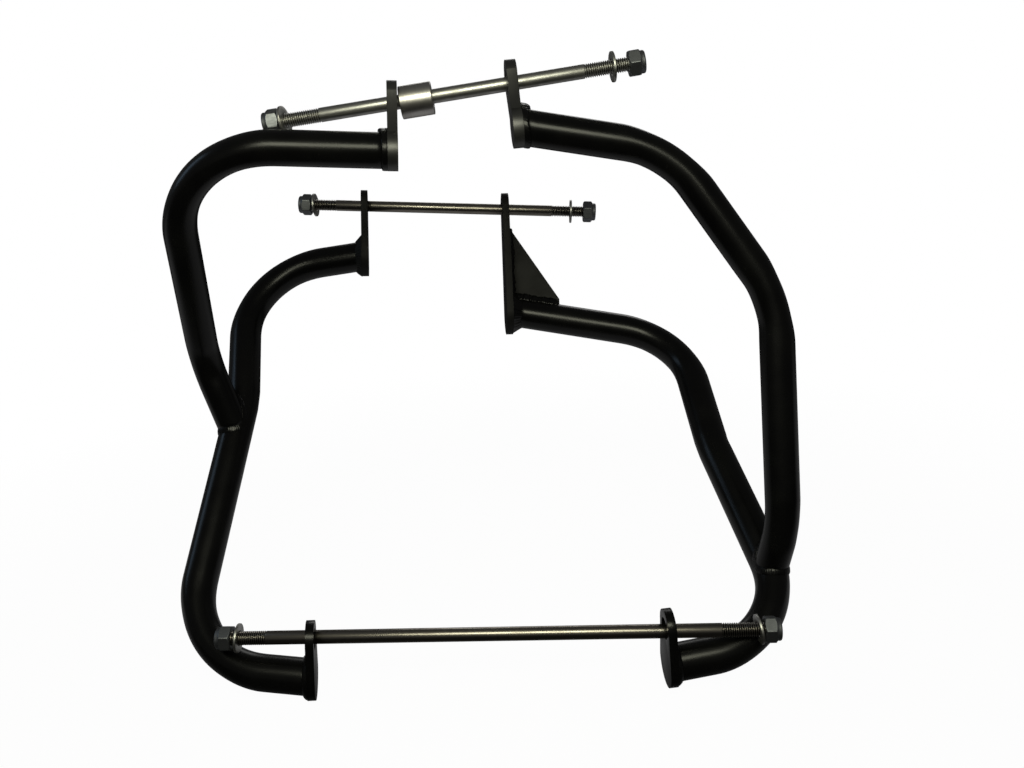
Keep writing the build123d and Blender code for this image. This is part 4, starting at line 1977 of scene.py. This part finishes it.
def right_half() -> TubeHalf:
    """Right half of the set."""
    return TubeHalf(
        side=Side.RIGHT,
        lower=TabPlate(
            name="right_lower_tab", rest=(124.5, 0.0, 0.0), side=Side.RIGHT, lean=-5.5, splay=2.0,
            swing=8.5, lift=2.5, reach=29.6, eye_r=13.5, base_r=16.85,
        ),
        middle=TabPlate(
            name="right_middle_tab", rest=(4.5, 290.0, 272.0), side=Side.RIGHT, lean=16.0, splay=-2.3,
            swing=8.5, lift=0.9, reach=96.0, eye_r=13.9, base_r=20.85, hole_r=6.4, finish=Finishes.SHEET,
        ),
        top=TabPlate(
            name="right_top_tab", rest=(29.0, 92.9, 373.8), side=Side.RIGHT, lean=24.0, splay=2.0,
            swing=8.5, lift=1.9, reach=34.5, eye_r=14.5, base_r=13.9, foot_r=10.5, thickness=7.2,
            # Coat copy painted lighter: painted light on this tab's front edge.
            finish=Finishes.LIT_STRAP,
        ),
        main_bends=((163.2, 255.0, 151.3), (178.1, 151.0, 83.0), (223.5, 17.2, -16.8)),
        main_radii=(72.3, 83.8, 60.2),
        upper_bends=((140.6, 90.1, 323.4), (212.8, 77.3, 216.7), (214.7, 47.7, 58.3)),
        upper_radii=(87.0, 104.0, 76.2),
        branch_distance=382.5,
        welds=(
            WeldBead(
                "right_lower_weld", leg=2.8, length=3.6, fullness=1.5, depth=0.08, uneven=0.06, seed=5.1,
            ),
            WeldBead(
                "right_middle_weld", leg=5.8, length=8.0, fullness=0.9, depth=0.35, uneven=0.18, seed=6.2,
            ),
            WeldBead(
                "right_top_weld", leg=1.3, length=4.0, fullness=4.0, depth=0.14, uneven=0.1, lump=2.6,
                seed=7.7,
            ),
            WeldBead(
                "right_branch_weld", leg=2.9, length=2.4, fullness=1.2, pitch=1.5, depth=0.35,
                uneven=0.15, seed=8.4,
            ),
        ),
    )


def right_gusset(half: TubeHalf) -> Gusset:
    """Gusset of the right half.

    Args:
        half: The right half.

    Returns:
        The gusset.
    """
    return Gusset(
        tab=half.middle,
        bend=half.main_bends[0],
        tube_r=half.main_d / 2,
        upright_bead=WeldBead(
            "right_gusset_tab_weld", leg=4.0, length=3.6, fullness=1.2, closed=False, pitch=3.2,
            depth=0.45, uneven=0.25, seed=9.2,
        ),
        level_bead=WeldBead(
            "right_gusset_tube_weld", leg=4.6, length=5.4, fullness=1.7, closed=False, pitch=2.6,
            depth=0.6, uneven=0.15, passes=2, seed=10.5,
        ),
    )


def stud_sets(left: TubeHalf, right: TubeHalf) -> tuple[StudSet, StudSet, StudSet]:
    """Studs that join the halves.

    Args:
        left: The left half.
        right: The right half.

    Returns:
        The top, middle and lower stud sets.
    """
    top = StudSet(
        "top", left.top, right.top, length=268.6, overhang=94.2, finish=Finishes.ZINC,
        threads=(40.0, 42.0), gaps=(2.2, 10.2), tilts=(4.0, -1.6), swings=(-10.0, 4.0),
        turns=(10.0, 30.0),
    )
    middle = StudSet(
        "middle", left.middle, right.middle, length=273.5, overhang=62.8, finish=Finishes.DRAWN,
        threads=(34.0, 40.0), gaps=(2.2, 10.6), tilts=(6.8, 1.0), swings=(-2.0, 0.0), turns=(0.0, 5.0),
    )
    lower = StudSet(
        "lower", left.lower, right.lower, length=399.4, overhang=71.1, finish=Finishes.DRAWN,
        threads=(36.0, 40.0), gaps=(3.2, 2.4), tilts=(-5.0, 7.4), swings=(2.0, 7.6), turns=(0.0, 10.0),
    )
    return top, middle, lower


def main() -> None:
    """Build the set, its finishes and the stage."""
    logging.basicConfig(level=logging.INFO, format="%(name)s %(message)s")
    finishes = Finishes()
    left, right = left_half(), right_half()
    left.build(finishes)
    right.build(finishes)
    right_gusset(right).build(finishes)
    top, middle, lower = stud_sets(left, right)
    for studs in (top, middle, lower):
        studs.build(finishes)
    Spacer().build(top, finishes)
    Studio().build()
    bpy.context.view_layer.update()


if __name__ == "__main__":
    main()
